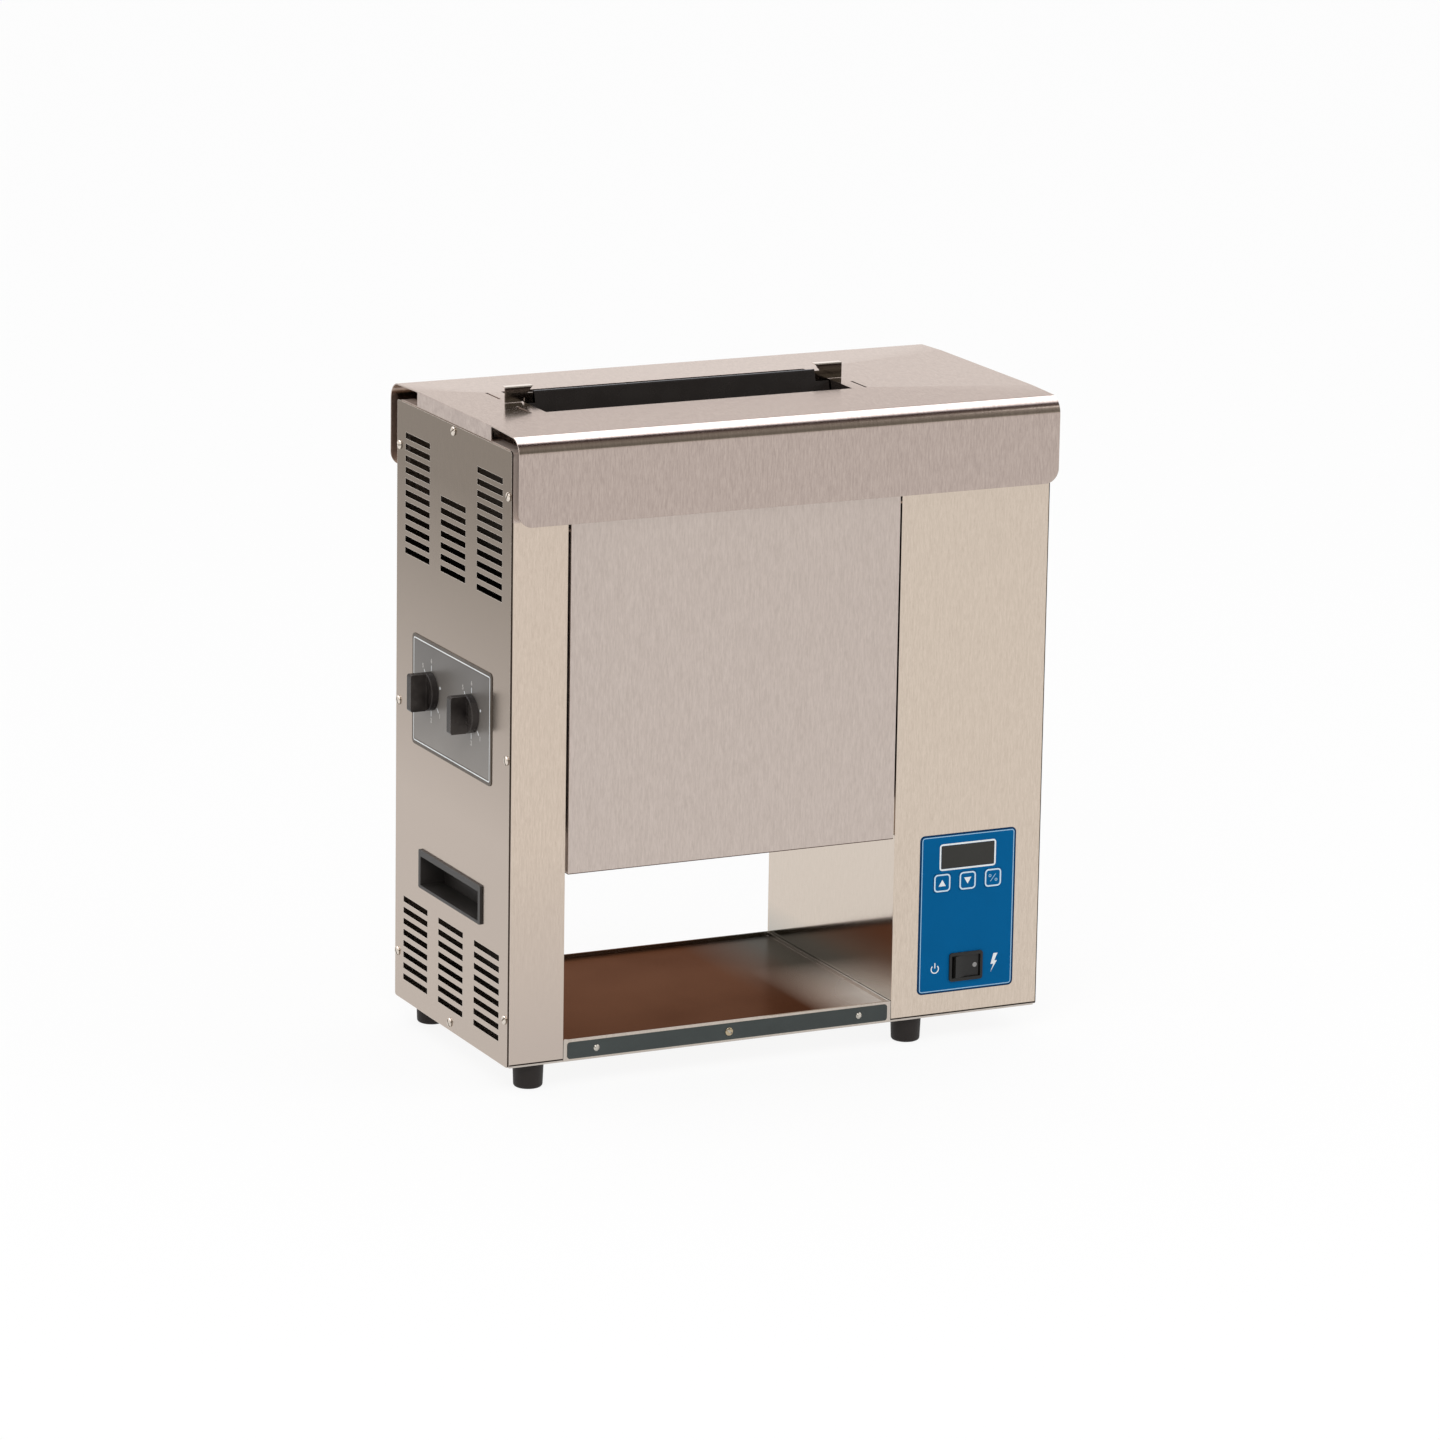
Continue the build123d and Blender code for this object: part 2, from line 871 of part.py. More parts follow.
def cam_shaft(y, facing_deg):
    x = cam_middle()
    outer_end = -half_width - knob_reach + 1.5 * knob_wall
    shaft = rod_x(cam_shaft_radius, outer_end, chamber_left + sheet, y, knob_z)
    shaft += across_x(snail(y, facing_deg), x - cam_thick / 2, x + cam_thick / 2)
    return shaft + rod_x(cam_hub_radius, x - cam_thick, x - cam_thick / 2, y, knob_z)


def bush(shaft, x_face, side, depth, y, z):
    """A flanged bush: its flange lies on x_face and its sleeve goes towards -side."""
    outer = shaft + bush_wall
    reach = x_face - side * depth
    flange = x_face + side * bush_flange
    body = rod_x(outer, min(x_face, reach), max(x_face, reach), y, z)
    body += rod_x(shaft + bush_flange_wall, min(x_face, flange), max(x_face, flange), y, z)
    low, high = min(reach, flange), max(reach, flange)
    return body - rod_x(shaft + run_gap, low - cut_over, high + cut_over, y, z)


def shaft_bushes():
    solids = []
    for s in (-1, 1):
        solids.append(bush(cam_shaft_radius, -inner_end, 1, end_sheet, s * knob_y, knob_z))
        solids.append(bush(cam_shaft_radius, chamber_left - sheet, -1, sheet, s * knob_y, knob_z))
        solids.append(bush(drive_shaft_radius, chamber_left - sheet, -1, sheet, s * conveyor_y, drive_z))
        solids.append(bush(drive_shaft_radius, chamber_right + sheet, 1, sheet, s * conveyor_y, drive_z))
    return solids


# Platen


def heater(z, radius):
    """One U-shaped heater: two tails through the right wall and a half-turn bend."""
    bend_x = belt_left + heater_margin + heater_bend
    tail = chamber_right + sheet + heater_tail
    upper = z + 2 * heater_bend
    path = Curve() + [
        Line((tail, 0, z), (bend_x, 0, z)),
        ThreePointArc((bend_x, 0, z), (bend_x - heater_bend, 0, z + heater_bend), (bend_x, 0, upper)),
        Line((bend_x, 0, upper), (tail, 0, upper)),
    ]
    section = Plane((tail, 0, z), z_dir=(-1, 0, 0)) * Circle(radius)
    return sweep(section, path=path)


def probe_x():
    return belt_right - probe_depth


def platen():
    body = block(belt_left, belt_right, -platen_thick / 2, platen_thick / 2, platen_low, platen_top)
    body = chamfer(body.edges().filter_by(Axis.X), sheet)
    for z in heater_levels():
        body -= heater(z, heater_radius + run_gap)
    return body - rod_x(probe_radius + run_gap, probe_x(), belt_right + cut_over, 0, probe_z())


def platen_brackets():
    """Four channels between the platen's ends and the chamber walls."""
    solids = []
    half = platen_thick / 2
    for x0, x1 in ((chamber_left, belt_left), (belt_right, chamber_right)):
        for z in (platen_low + bracket_height / 2, platen_top - bracket_height / 2):
            body = block(x0, x1, -half, half, z - bracket_height / 2, z + bracket_height / 2)
            body -= block(
                x0 + bracket_wall, x1 - bracket_wall, -half - cut_over, half - bracket_wall,
                z - bracket_height, z + bracket_height,
            )
            solids.append(body)
    return solids


def probe():
    wall = chamber_right + sheet
    body = rod_x(probe_radius, probe_x(), wall + 2 * probe_nut_height, 0, probe_z())
    nut = Plane.YZ.offset(wall) * Pos(0, probe_z()) * RegularPolygon(probe_nut_radius, 6)
    return body + extrude(nut, amount=probe_nut_height)


def limit_switch():
    """A disc thermostat on the chamber wall, with its two blades."""
    wall = chamber_right + sheet
    body = rod_x(limit_radius, wall, wall + limit_height, limit_shift, probe_z())
    for s in (-1, 1):
        y = limit_shift + s * limit_radius / 2
        body += block(
            wall + limit_height, wall + 1.6 * limit_height, y - limit_radius / 5, y + limit_radius / 5,
            probe_z() - sheet / 2, probe_z() + sheet / 2,
        )
    return body


def release_profile(thick, low):
    """The sheet's outline in (y, z) down to low, less a thickness all round."""
    half, tip = release_half - thick, hanger_thick / 2 + seat_gap + release_thick - thick
    shoulder = platen_top + seat_gap
    top = release_top() - thick
    bend = top - tip
    outline = Curve() + [
        Polyline((-tip, bend), (-half, shoulder), (-half, low), (half, low), (half, shoulder), (tip, bend)),
        ThreePointArc((tip, bend), (0, top), (-tip, bend)),
    ]
    return make_face(outline)


def release_top():
    return crown_z + seat_gap + ear_height * hump_share


def release_sheet():
    left, right = belt_left + hanger_play, belt_right - hanger_play
    low = platen_low + release_lift
    body = across_x(release_profile(0, low), left, right)
    body -= across_x(release_profile(release_thick, low - cut_over), left - cut_over, right + cut_over)
    for outer, side in ear_places():
        inner = outer + side * (ear_width + hanger_play)
        body -= block(
            min(outer, inner), max(outer, inner), -slot_half, slot_half,
            crown_z - hanger_play, crown_z + ear_height + cut_over,
        )
    return body


def ear_places():
    """Outer edge of each ear, and the way from there to the other one."""
    return [(belt_left - ear_margin - ear_shift, 1), (belt_right + ear_margin - ear_shift, -1)]


def hanger_ear(outer, side):
    """An upright plate that stands on the cover past the slot's end, its top turned back."""
    foot = crown_z + seat_gap
    points = [
        (outer, foot + ear_height),
        (outer + side * ear_width, foot + ear_height),
        (outer + side * ear_foot_width, foot),
        (outer, foot),
    ]
    ear = extrude(Plane.XZ.offset(-hanger_thick / 2) * polygon(points), amount=hanger_thick)
    inner, high = outer + side * ear_width, foot + ear_height
    return ear + block(
        min(outer, inner), max(outer, inner), 0, hanger_thick / 2 + ear_flange, high - sheet, high
    )


def sheet_hanger():
    top = release_top() - release_thick - seat_gap - hanger_thick / 2
    bar = block(
        belt_left + hanger_play, belt_right - hanger_play, -hanger_thick / 2, hanger_thick / 2,
        top - hanger_depth, top,
    )
    return bar + [hanger_ear(outer, side) for outer, side in ear_places()]


# Conveyors, drawn for the rear


def stadium(radius):
    """A loop's outline in (y, z) about the two rollers of the rear conveyor."""
    middle = (drive_z + idle_z) / 2
    bar = Pos(conveyor_y, middle) * Rectangle(2 * radius, roller_centres)
    return bar + Pos(conveyor_y, drive_z) * Circle(radius) + Pos(conveyor_y, idle_z) * Circle(radius)


def belt():
    return across_x(stadium(belt_outer) - stadium(belt_inner), belt_left, belt_right)


def roller(shaft, z, x0, x1):
    drum = rod_x(roller_radius, belt_left, belt_right, conveyor_y, z)
    drum -= rod_x(roller_radius - roller_wall, belt_left - cut_over, belt_right + cut_over, conveyor_y, z)
    web = rod_x(roller_radius, lane_middle - roller_web, lane_middle + roller_web, conveyor_y, z)
    return drum + web + rod_x(shaft, x0, x1, conveyor_y, z)


def drive_roller():
    left = chamber_left - sheet - bush_flange - seat_gap
    return roller(drive_shaft_radius, drive_z, left, chain_x + tooth_thick)


def idle_roller():
    over = frame_gap + frame_sheet + idle_shaft_radius / 2
    return roller(idle_shaft_radius, idle_z, belt_left - over, belt_right + over)


def conveyor_frame():
    """Two side plates, a backing plate behind the working run and two tie rods."""
    left = belt_left - frame_gap - frame_sheet
    right = belt_right + frame_gap + frame_sheet
    low, high = idle_z - frame_over, drive_z + frame_over
    frame = Part()
    for x0 in (left, right - frame_sheet):
        plate = end_plate(
            conveyor_y - frame_half, conveyor_y + frame_half, low, high, frame_half / 2, x0, x0 + frame_sheet
        )
        plate -= rod_x(drive_shaft_radius + run_gap, x0 - cut_over, x0 + cut_over, conveyor_y, drive_z)
        plate -= rod_x(idle_shaft_radius + run_gap, x0 - cut_over, x0 + cut_over, conveyor_y, idle_z)
        frame += plate
    face = conveyor_y - roller_radius
    frame += block(
        left, right, face, face + frame_sheet,
        idle_z + roller_radius + backing_inset, drive_z - roller_radius - backing_inset,
    )
    middle = (drive_z + idle_z) / 2
    for shift in (-tie_shift, tie_shift):
        frame += rod_x(tie_radius, left, right, conveyor_y + tie_radius, middle + shift)
    pin_end = cam_middle() - cam_thick / 2
    return frame + rod_x(follower_radius, pin_end, left, follower_y, knob_z)


# Chain drive


def pitch_radius(teeth):
    return chain_pitch / (2 * sin(pi / teeth))


def sprocket(teeth, y, z, bore, hub_side):
    """A toothed disc in the chain's plane with a hub on one side."""
    radius = pitch_radius(teeth)
    points = []
    for n in range(4 * teeth):
        reach = radius + tooth_tip if n % 4 < 2 else radius - tooth_root
        spread = tooth_tip_share if n % 4 < 2 else tooth_root_share
        angle = 2 * pi * (n // 4 + (n % 4 // 2) / 2) / teeth + (n % 2 - 0.5) * spread * pi / (2 * teeth)
        points.append((y + reach * cos(angle), z + reach * sin(angle)))
    body = across_x(polygon(points), chain_x - tooth_thick / 2, chain_x + tooth_thick / 2)
    hub = sorted((chain_x, chain_x + hub_side * hub_length))
    body += rod_x(hub_radius, hub[0], hub[1], y, z)
    return body - rod_x(bore + run_gap, hub[0] - hub_length, hub[1] + hub_length, y, z)


def drive_sprocket():
    return sprocket(drive_teeth, conveyor_y, drive_z, drive_shaft_radius, -1)


def motor_sprocket():
    """The sprocket with the gearmotor's output shaft in it."""
    disc = sprocket(motor_teeth, 0, motor_z, motor_shaft_radius - run_gap, -1)
    return disc + rod_x(motor_shaft_radius, chain_x - hub_length, plate_x + gearbox_length / 2, 0, motor_z)


def idler_sprocket():
    return sprocket(motor_teeth, idler_y, idler_z, idler_stud_radius, -1)


def chain_wheels():
    """Centre, radius and side of each wheel, in the chain's order: +1 is inside the loop."""
    return [
        ((0, motor_z), pitch_radius(motor_teeth), 1),
        ((conveyor_y, drive_z), pitch_radius(drive_teeth), 1),
        ((-conveyor_y, drive_z), pitch_radius(drive_teeth), -1),
        ((idler_y, idler_z), pitch_radius(motor_teeth), 1),
    ]


def chain_runs(offset):
    """The straight runs of the chain's loop, moved outwards by offset."""
    wheels = [(c, r + s * offset, s) for c, r, s in chain_wheels()]
    runs = []
    for n, (start, r0, s0) in enumerate(wheels):
        end, r1, s1 = wheels[(n + 1) % len(wheels)]
        length = hypot(end[0] - start[0], end[1] - start[1])
        heading = atan2(end[1] - start[1], end[0] - start[0]) + asin((s0 * r0 - s1 * r1) / length)
        normal = (sin(heading), -cos(heading))
        first = (start[0] + s0 * r0 * normal[0], start[1] + s0 * r0 * normal[1])
        last = (end[0] + s1 * r1 * normal[0], end[1] + s1 * r1 * normal[1])
        runs.append((first, last))
    return wheels, runs


def chain_loop(offset):
    wheels, runs = chain_runs(offset)
    edges = []
    for n, (first, last) in enumerate(runs):
        centre, radius, side = wheels[(n + 1) % len(wheels)]
        following = runs[(n + 1) % len(runs)][0]
        a0 = atan2(last[1] - centre[1], last[0] - centre[0])
        a1 = atan2(following[1] - centre[1], following[0] - centre[0])
        middle = a0 + side * (((a1 - a0) * side) % (2 * pi)) / 2
        top = (centre[0] + radius * cos(middle), centre[1] + radius * sin(middle))
        edges += [Line(first, last), ThreePointArc(last, top, following)]
    return make_face(Curve() + edges)


def drive_chain():
    """Two side bands that straddle the teeth, with rollers on the straight runs."""
    band = chain_loop(band_half) - chain_loop(-band_half)
    inner = tooth_thick / 2 + tooth_gap
    chain = across_x(band, chain_x + inner, chain_x + inner + band_thick)
    chain += across_x(band, chain_x - inner - band_thick, chain_x - inner)
    rollers = []
    for (y0, z0), (y1, z1) in chain_runs(0)[1]:
        length = hypot(y1 - y0, z1 - z0)
        free = length - 2 * chain_roller_clear
        count = max(int(free / chain_pitch) + 1, 1)
        for n in range(count):
            share = (chain_roller_clear + n * chain_pitch) / length
            rollers.append(
                rod_x(
                    chain_roller_radius, chain_x - inner, chain_x + inner,
                    y0 + share * (y1 - y0), z0 + share * (z1 - z0),
                )
            )
    return chain + rollers


def drive_brackets():
    """The gearmotor's plate on its two feet, and the idler's stud."""
    wall = chamber_right + sheet
    high, low = motor_z - gearbox_half / 2, motor_z - plate_half
    plate = block(plate_x - plate_sheet, plate_x, -plate_half, plate_half, low, motor_z + gearbox_half)
    plate -= rod_x(motor_shaft_radius + seat_gap, plate_x - cut_over, plate_x + cut_over, 0, motor_z)
    foot = block(wall, plate_x, -plate_half, plate_half, low, low + plate_sheet)
    sides = [
        block(wall, plate_x, s * plate_half - (s + 1) / 2 * plate_sheet,
              s * plate_half - (s - 1) / 2 * plate_sheet, low, high)
        for s in (-1, 1)
    ]
    stud = rod_x(idler_stud_radius, wall, chain_x + tooth_thick, idler_y, idler_z)
    stud += rod_x(idler_flange_radius, wall, wall + bush_flange, idler_y, idler_z)
    return [plate + foot + sides, stud]


def gearmotor():
    """A square gearbox on the plate, with the motor behind it."""
    box = block(
        plate_x, plate_x + gearbox_length, -gearbox_half, gearbox_half,
        motor_z - gearbox_half, motor_z + gearbox_half,
    )
    box = chamfer(box.edges().filter_by(Axis.X), gearbox_half / 8)
    bore_end = plate_x + gearbox_length / 2 + motor_shaft_radius
    box -= rod_x(motor_shaft_radius + run_gap, plate_x - cut_over, bore_end, 0, motor_z)
    back = plate_x + gearbox_length
    motor = rod_x(motor_radius, back, back + motor_length, 0, motor_z)
    return box + chamfer(motor.edges().group_by(Axis.X)[-1], motor_radius / 8)


# Fan


def fan_z():
    return base_z + fan_lift


def fan_frame():
    """A square frame on the end panel, with a cross of struts that holds the rotor's pin."""
    inner = inner_end - fan_depth
    half = fan_size / 2
    frame = end_plate(-half, half, fan_z() - half, fan_z() + half, fan_strut, inner, inner_end)
    frame -= rod_x(fan_bore_radius, inner - cut_over, inner_end + cut_over, 0, fan_z())
    arm, arm_end = fan_strut / 2, inner + fan_strut_thick
    cross = block(inner, arm_end, -half, half, fan_z() - arm, fan_z() + arm)
    cross += block(inner, arm_end, -arm, arm, fan_z() - half, fan_z() + half)
    cross += rod_x(fan_hub_radius, inner, inner + fan_strut_thick, 0, fan_z())
    pin = rod_x(fan_pin_radius, inner, inner_end - fan_strut, 0, fan_z())
    return frame + cross + pin


def fan_rotor():
    back = inner_end - fan_depth + fan_strut_thick + knob_gap
    front = inner_end - fan_strut_thick
    middle = (back + front) / 2
    root = fan_hub_radius - fan_blade_root
    hub = rod_x(fan_hub_radius, back, front, 0, fan_z())
    blades = []
    for n in range(fan_blades):
        blade = Pos(0, 0, (root + fan_blade_reach) / 2) * Rot(0, 0, fan_blade_pitch) * Box(
            fan_blade_thick, front - back, fan_blade_reach - root
        )
        blades.append(Pos(middle, 0, fan_z()) * Rot(n * 360 / fan_blades, 0, 0) * blade)
    bore = rod_x(fan_pin_radius + run_gap, back - cut_over, front + cut_over, 0, fan_z())
    return hub + blades - bore


# Controls


def key_places():
    return [overlay_middle + n * key_pitch for n in (-1, 0, 1)]


def control_cuts(grow, y_front, y_back):
    """The overlay's and the housing's openings for the display, the keys and the switch."""
    half_w, half_h = display_width / 2 + grow, display_height / 2 + grow
    low, high = display_z - half_h, display_z + half_h
    cuts = [block(display_x - half_w, display_x + half_w, y_front, y_back, low, high)]
    half = key_size / 2 + seat_gap + grow
    for x in key_places():
        cuts.append(
            front_plate(x - half, x + half, key_z - half, key_z + half, key_radius, y_front, y_back)
        )
    half_w, half_h = switch_width / 2 - switch_rim + grow, switch_height / 2 - switch_rim + grow
    low, high = switch_z - half_h, switch_z + half_h
    cuts.append(block(overlay_middle - half_w, overlay_middle + half_w, y_front, y_back, low, high))
    return cuts


def right_housing():
    shell = housing(inner_end, chamber_right, -1)
    shell -= control_cuts(0, -half_depth - cut_over, -inner_front + cut_over)
    hole = gland_radius + run_gap
    shell -= rod_y(hole, gland_x(), inner_front - cut_over, half_depth + cut_over, gland_z())
    shell -= screw_holes(inner_end)
    return shell


def left_housing():
    return housing(-inner_end, chamber_left, 1) - screw_holes(-inner_end)


def control_overlay():
    sheet_face = front_plate(
        overlay_left, overlay_right, overlay_low, overlay_low + overlay_height, overlay_radius,
        -overlay_y, -half_depth,
    )
    return sheet_face - control_cuts(0, -overlay_y - cut_over, -half_depth + cut_over)


def display_window():
    half_w, half_h = display_width / 2 - run_gap, display_height / 2 - run_gap
    return block(
        display_x - half_w, display_x + half_w, -overlay_y - display_proud, -inner_front,
        display_z - half_h, display_z + half_h,
    )


def key(x):
    """A key cap with a flange that keeps it behind the housing's sheet."""
    half = key_size / 2
    front, back = -overlay_y - key_proud, -inner_front + seat_gap
    cap = front_plate(x - half, x + half, key_z - half, key_z + half, key_radius, front, back)
    half += key_flange
    return cap + front_plate(
        x - half, x + half, key_z - half, key_z + half, key_radius, back, back + key_flange_thick
    )


def controller_board():
    """The board on four posts, with the display's block and a contact behind each key."""
    back = -inner_front + board_setback
    low, high = key_z - key_size / 2 - board_margin, display_z + display_height / 2 + board_margin
    left, right = overlay_left + board_margin, overlay_right - board_margin
    board = block(left, right, back, back + board_thick, low, high)
    inset = board_post_inset
    for x in (left + inset, right - inset):
        board += rod_y(board_post_radius, x, -inner_front, back, high - inset)
        board += rod_y(board_post_radius, x, -inner_front, back, low + inset / 2 + board_post_radius / 2)
    board += block(
        display_x - display_width / 2, display_x + display_width / 2, -inner_front + seat_gap, back,
        display_z - display_height / 2, display_z + display_height / 2,
    )
    contact = -inner_front + 2 * seat_gap + key_flange_thick + key_travel
    for x in key_places():
        board += block(x - tact_half, x + tact_half, contact, back, key_z - tact_half, key_z + tact_half)
    return board


def switch_axis_y():
    return -overlay_y - switch_proud + rocker_tip


def switch_body():
    """The bezel and the box behind it, with a hollow that the rocker swings in."""
    half_w, half_h = switch_width / 2, switch_height / 2
    body = front_plate(
        overlay_middle - half_w, overlay_middle + half_w, switch_z - half_h, switch_z + half_h, switch_radius,
        -overlay_y - switch_proud, -overlay_y,
    )
    fit_w, fit_h = half_w - switch_rim - run_gap, half_h - switch_rim - run_gap
    body += block(
        overlay_middle - fit_w, overlay_middle + fit_w, -overlay_y, -overlay_y + switch_depth,
        switch_z - fit_h, switch_z + fit_h,
    )
    hollow_w = hypot(rocker_length / 2, rocker_tip) + seat_gap
    hollow_h = rocker_height / 2 + seat_gap
    body -= block(
        overlay_middle - hollow_w, overlay_middle + hollow_w,
        -overlay_y - switch_proud - cut_over, -overlay_y + switch_depth - switch_back,
        switch_z - hollow_h, switch_z + hollow_h,
    )
    low, high = switch_z - rocker_height / 2 - switch_rim, switch_z + rocker_height / 2 + switch_rim
    body -= rod_z(rocker_pin_radius + run_gap, overlay_middle, switch_axis_y(), low, high)
    blades = [
        block(
            overlay_middle + n * half_w / 2 - switch_rim, overlay_middle + n * half_w / 2 + switch_rim,
            -overlay_y + switch_depth, -overlay_y + switch_depth + 4 * switch_rim,
            switch_z - sheet / 2, switch_z + sheet / 2,
        )
        for n in (-1, 1)
    ]
    return body + blades


def switch_rocker():
    """A rocker with a hollow V face, held at rest with its right half pressed in."""
    half = rocker_length / 2
    points = [
        (-half, -rocker_tip), (0, -rocker_valley), (half, -rocker_tip),
        (half, 0), (0, rocker_back), (-half, 0),
    ]
    face = polygon(points)
    body = extrude(Plane.XY.offset(-rocker_height / 2) * face, amount=rocker_height)
    reach = rocker_height / 2 + switch_rim / 2
    body += rod_z(rocker_pin_radius, 0, 0, -reach, reach)
    return Pos(overlay_middle, switch_axis_y(), switch_z) * Rot(0, 0, rocker_tilt_deg) * body


# Supply


def supply_left():
    return chamber_right + foot_right_reach + nut_radius + supply_gap


def transformer():
    """A core and a bobbin on a flanged foot, in front on the pan."""
    left = supply_left()
    right = left + transformer_length
    front = -inner_front + board_setback + switch_depth + 2 * supply_gap
    rear = front + transformer_depth
    middle = (front + rear) / 2
    body = block(left, right, front, rear, pan_floor, pan_floor + transformer_flange)
    inset = transformer_length / 6
    body += block(
        left + inset, right - inset, middle - transformer_core / 2, middle + transformer_core / 2,
        pan_floor, pan_floor + transformer_height,
    )
    wound = transformer_height / 6
    return body + fillet(
        block(
            left + 1.6 * inset, right - 1.6 * inset, front + inset / 2, rear - inset / 2,
            pan_floor + wound, pan_floor + transformer_height - wound,
        ).edges().filter_by(Axis.Z),
        inset / 3,
    )


def terminal_block():
    left = supply_left()
    rear = inner_front - seat_gap - sheet - supply_gap
    front = rear - terminal_depth
    body = block(left, left + terminal_length, front, rear, pan_floor, pan_floor + terminal_height)
    step = terminal_length / terminal_ways
    for n in range(terminal_ways):
        x = left + (n + 0.5) * step
        body += rod_z(
            terminal_post_radius, x, (front + rear) / 2, pan_floor + terminal_height,
            pan_floor + terminal_height + terminal_post_height,
        )
    return body


def gland_x():
    return half_width - gland_inset


def gland_z():
    return base_z + gland_lift


def cord_gland():
    x, z = gland_x(), gland_z()
    body = rod_y(gland_radius, x, inner_front - gland_nut_length, half_depth + gland_nose, z)
    body += rod_y(gland_nut_radius, x, half_depth, half_depth + gland_nut_length, z)
    nut = Plane.XZ.offset(-inner_front) * Pos(x, z) * RegularPolygon(gland_nut_radius, 6)
    body += extrude(nut, amount=gland_nut_length)
    return body - rod_y(gland_bore_radius, x, 0, half_depth + 2 * cover_overhang, z)


def write_all():
    write("base_pan", base_pan())
    write("left_housing", left_housing())
    write("right_housing", right_housing())
    write("left_chamber_wall", left_wall())
    write("right_chamber_wall", right_wall())
    write("upper_rails", *upper_rails())
    write("left_end_panel", left_end_panel())
    write("right_end_panel", other_end(end_panel()))
    screws = end_screws()
    write("end_panel_screws", *screws, *[other_end(s) for s in screws])
    write("left_grip_pocket", grip_pocket())
    write("right_grip_pocket", other_end(grip_pocket()))
    write("top_cover", top_cover())
    write("front_access_panel", access_panel())
    write("rear_access_panel", other_side(access_panel()))
    write("landing_tray", landing_tray())
    write("lip_strip", lip_strip())
    write("strip_studs", *strip_studs())
    write("rubber_feet", *feet())
    write("foot_bolts", *foot_bolts())
    write("dial_plate", dial_plate())
    write("front_knob", knob(-knob_y))
    write("rear_knob", knob(knob_y))
    write("front_cam_shaft", cam_shaft(-knob_y, 180))
    write("rear_cam_shaft", cam_shaft(knob_y, 0))
    write("shaft_bushes", *shaft_bushes())
    write("platen", platen())
    write("heating_elements", *[heater(z, heater_radius) for z in heater_levels()])
    write("platen_brackets", *platen_brackets())
    write("thermocouple_probe", probe())
    write("high_limit_thermostat", limit_switch())
    write("release_sheet", release_sheet())
    write("sheet_hanger", sheet_hanger())
    write("front_belt", other_side(belt()))
    write("rear_belt", belt())
    write("front_drive_roller", other_side(drive_roller()))
    write("rear_drive_roller", drive_roller())
    write("front_idle_roller", other_side(idle_roller()))
    write("rear_idle_roller", idle_roller())
    write("front_conveyor_frame", other_side(conveyor_frame()))
    write("rear_conveyor_frame", conveyor_frame())
    write("front_drive_sprocket", other_side(drive_sprocket()))
    write("rear_drive_sprocket", drive_sprocket())
    write("motor_sprocket", motor_sprocket())
    write("idler_sprocket", idler_sprocket())
    write("drive_chain", drive_chain())
    write("drive_brackets", *drive_brackets())
    write("gearmotor", gearmotor())
    write("fan_frame", fan_frame())
    write("fan_rotor", fan_rotor())
    write("control_overlay", control_overlay())
    write("display_window", display_window())
    for name, x in zip(("up_key", "down_key", "scale_key"), key_places()):
        write(name, key(x))
    write("controller_board", controller_board())
    write("switch_body", switch_body())
    write("switch_rocker", switch_rocker())
    write("transformer", transformer())
    write("terminal_block", terminal_block())
    write("cord_gland", cord_gland())


write_all()
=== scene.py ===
import json
import math
import bmesh
import bpy
from mathutils import Matrix, Vector
from mathutils.bvhtree import BVHTree


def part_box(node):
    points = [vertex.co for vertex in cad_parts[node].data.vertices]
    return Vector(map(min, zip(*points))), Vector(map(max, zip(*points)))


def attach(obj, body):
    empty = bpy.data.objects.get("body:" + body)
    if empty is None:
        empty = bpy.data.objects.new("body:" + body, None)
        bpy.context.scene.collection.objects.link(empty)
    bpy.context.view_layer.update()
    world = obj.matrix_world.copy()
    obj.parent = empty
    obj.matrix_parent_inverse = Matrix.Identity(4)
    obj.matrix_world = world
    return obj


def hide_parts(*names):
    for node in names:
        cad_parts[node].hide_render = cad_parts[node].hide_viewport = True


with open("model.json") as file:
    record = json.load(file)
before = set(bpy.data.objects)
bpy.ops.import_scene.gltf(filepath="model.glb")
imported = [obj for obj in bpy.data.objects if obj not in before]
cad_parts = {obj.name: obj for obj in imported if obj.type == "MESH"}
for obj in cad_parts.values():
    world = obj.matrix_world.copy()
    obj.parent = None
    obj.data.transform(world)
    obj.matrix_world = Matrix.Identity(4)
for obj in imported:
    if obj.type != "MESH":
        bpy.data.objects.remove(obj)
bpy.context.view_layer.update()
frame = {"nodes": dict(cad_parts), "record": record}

mm = 0.001
weldGap = 0.001 * mm
foldAngle = math.radians(32)  # an edge that turns by more is broken, or stays hard
faceOn = 0.5  # a face looks along an axis when its normal has more than this share of it
scene = bpy.context.scene
bodyOf = {node: body for body, nodes in frame["record"]["behaviour"]["bodies"].items() for node in nodes}


# Helpers for node trees

def tone(red, green, blue):
    # a 0-255 screen colour as the linear one that a socket takes, by the sRGB curve
    shares = [part / 255 for part in (red, green, blue)]
    linear = [s / 12.92 if s <= 0.04045 else ((s + 0.055) / 1.055) ** 2.4 for s in shares]
    return (*linear, 1.0)


def put(tree, kind, feeds=None, **settings):
    node = tree.nodes.new(kind)
    for key, value in settings.items():
        setattr(node, key, value)
    for key, value in (feeds or {}).items():
        if isinstance(value, bpy.types.NodeSocket):
            tree.links.new(value, node.inputs[key])
        else:
            node.inputs[key].default_value = value
    return node


def calc(tree, operation, first, second=0.0):
    return put(tree, "ShaderNodeMath", {0: first, 1: second}, operation=operation).outputs[0]


def mixTone(tree, share, low, high):
    return put(tree, "ShaderNodeMix", {0: share, 6: low, 7: high}, data_type="RGBA").outputs[2]


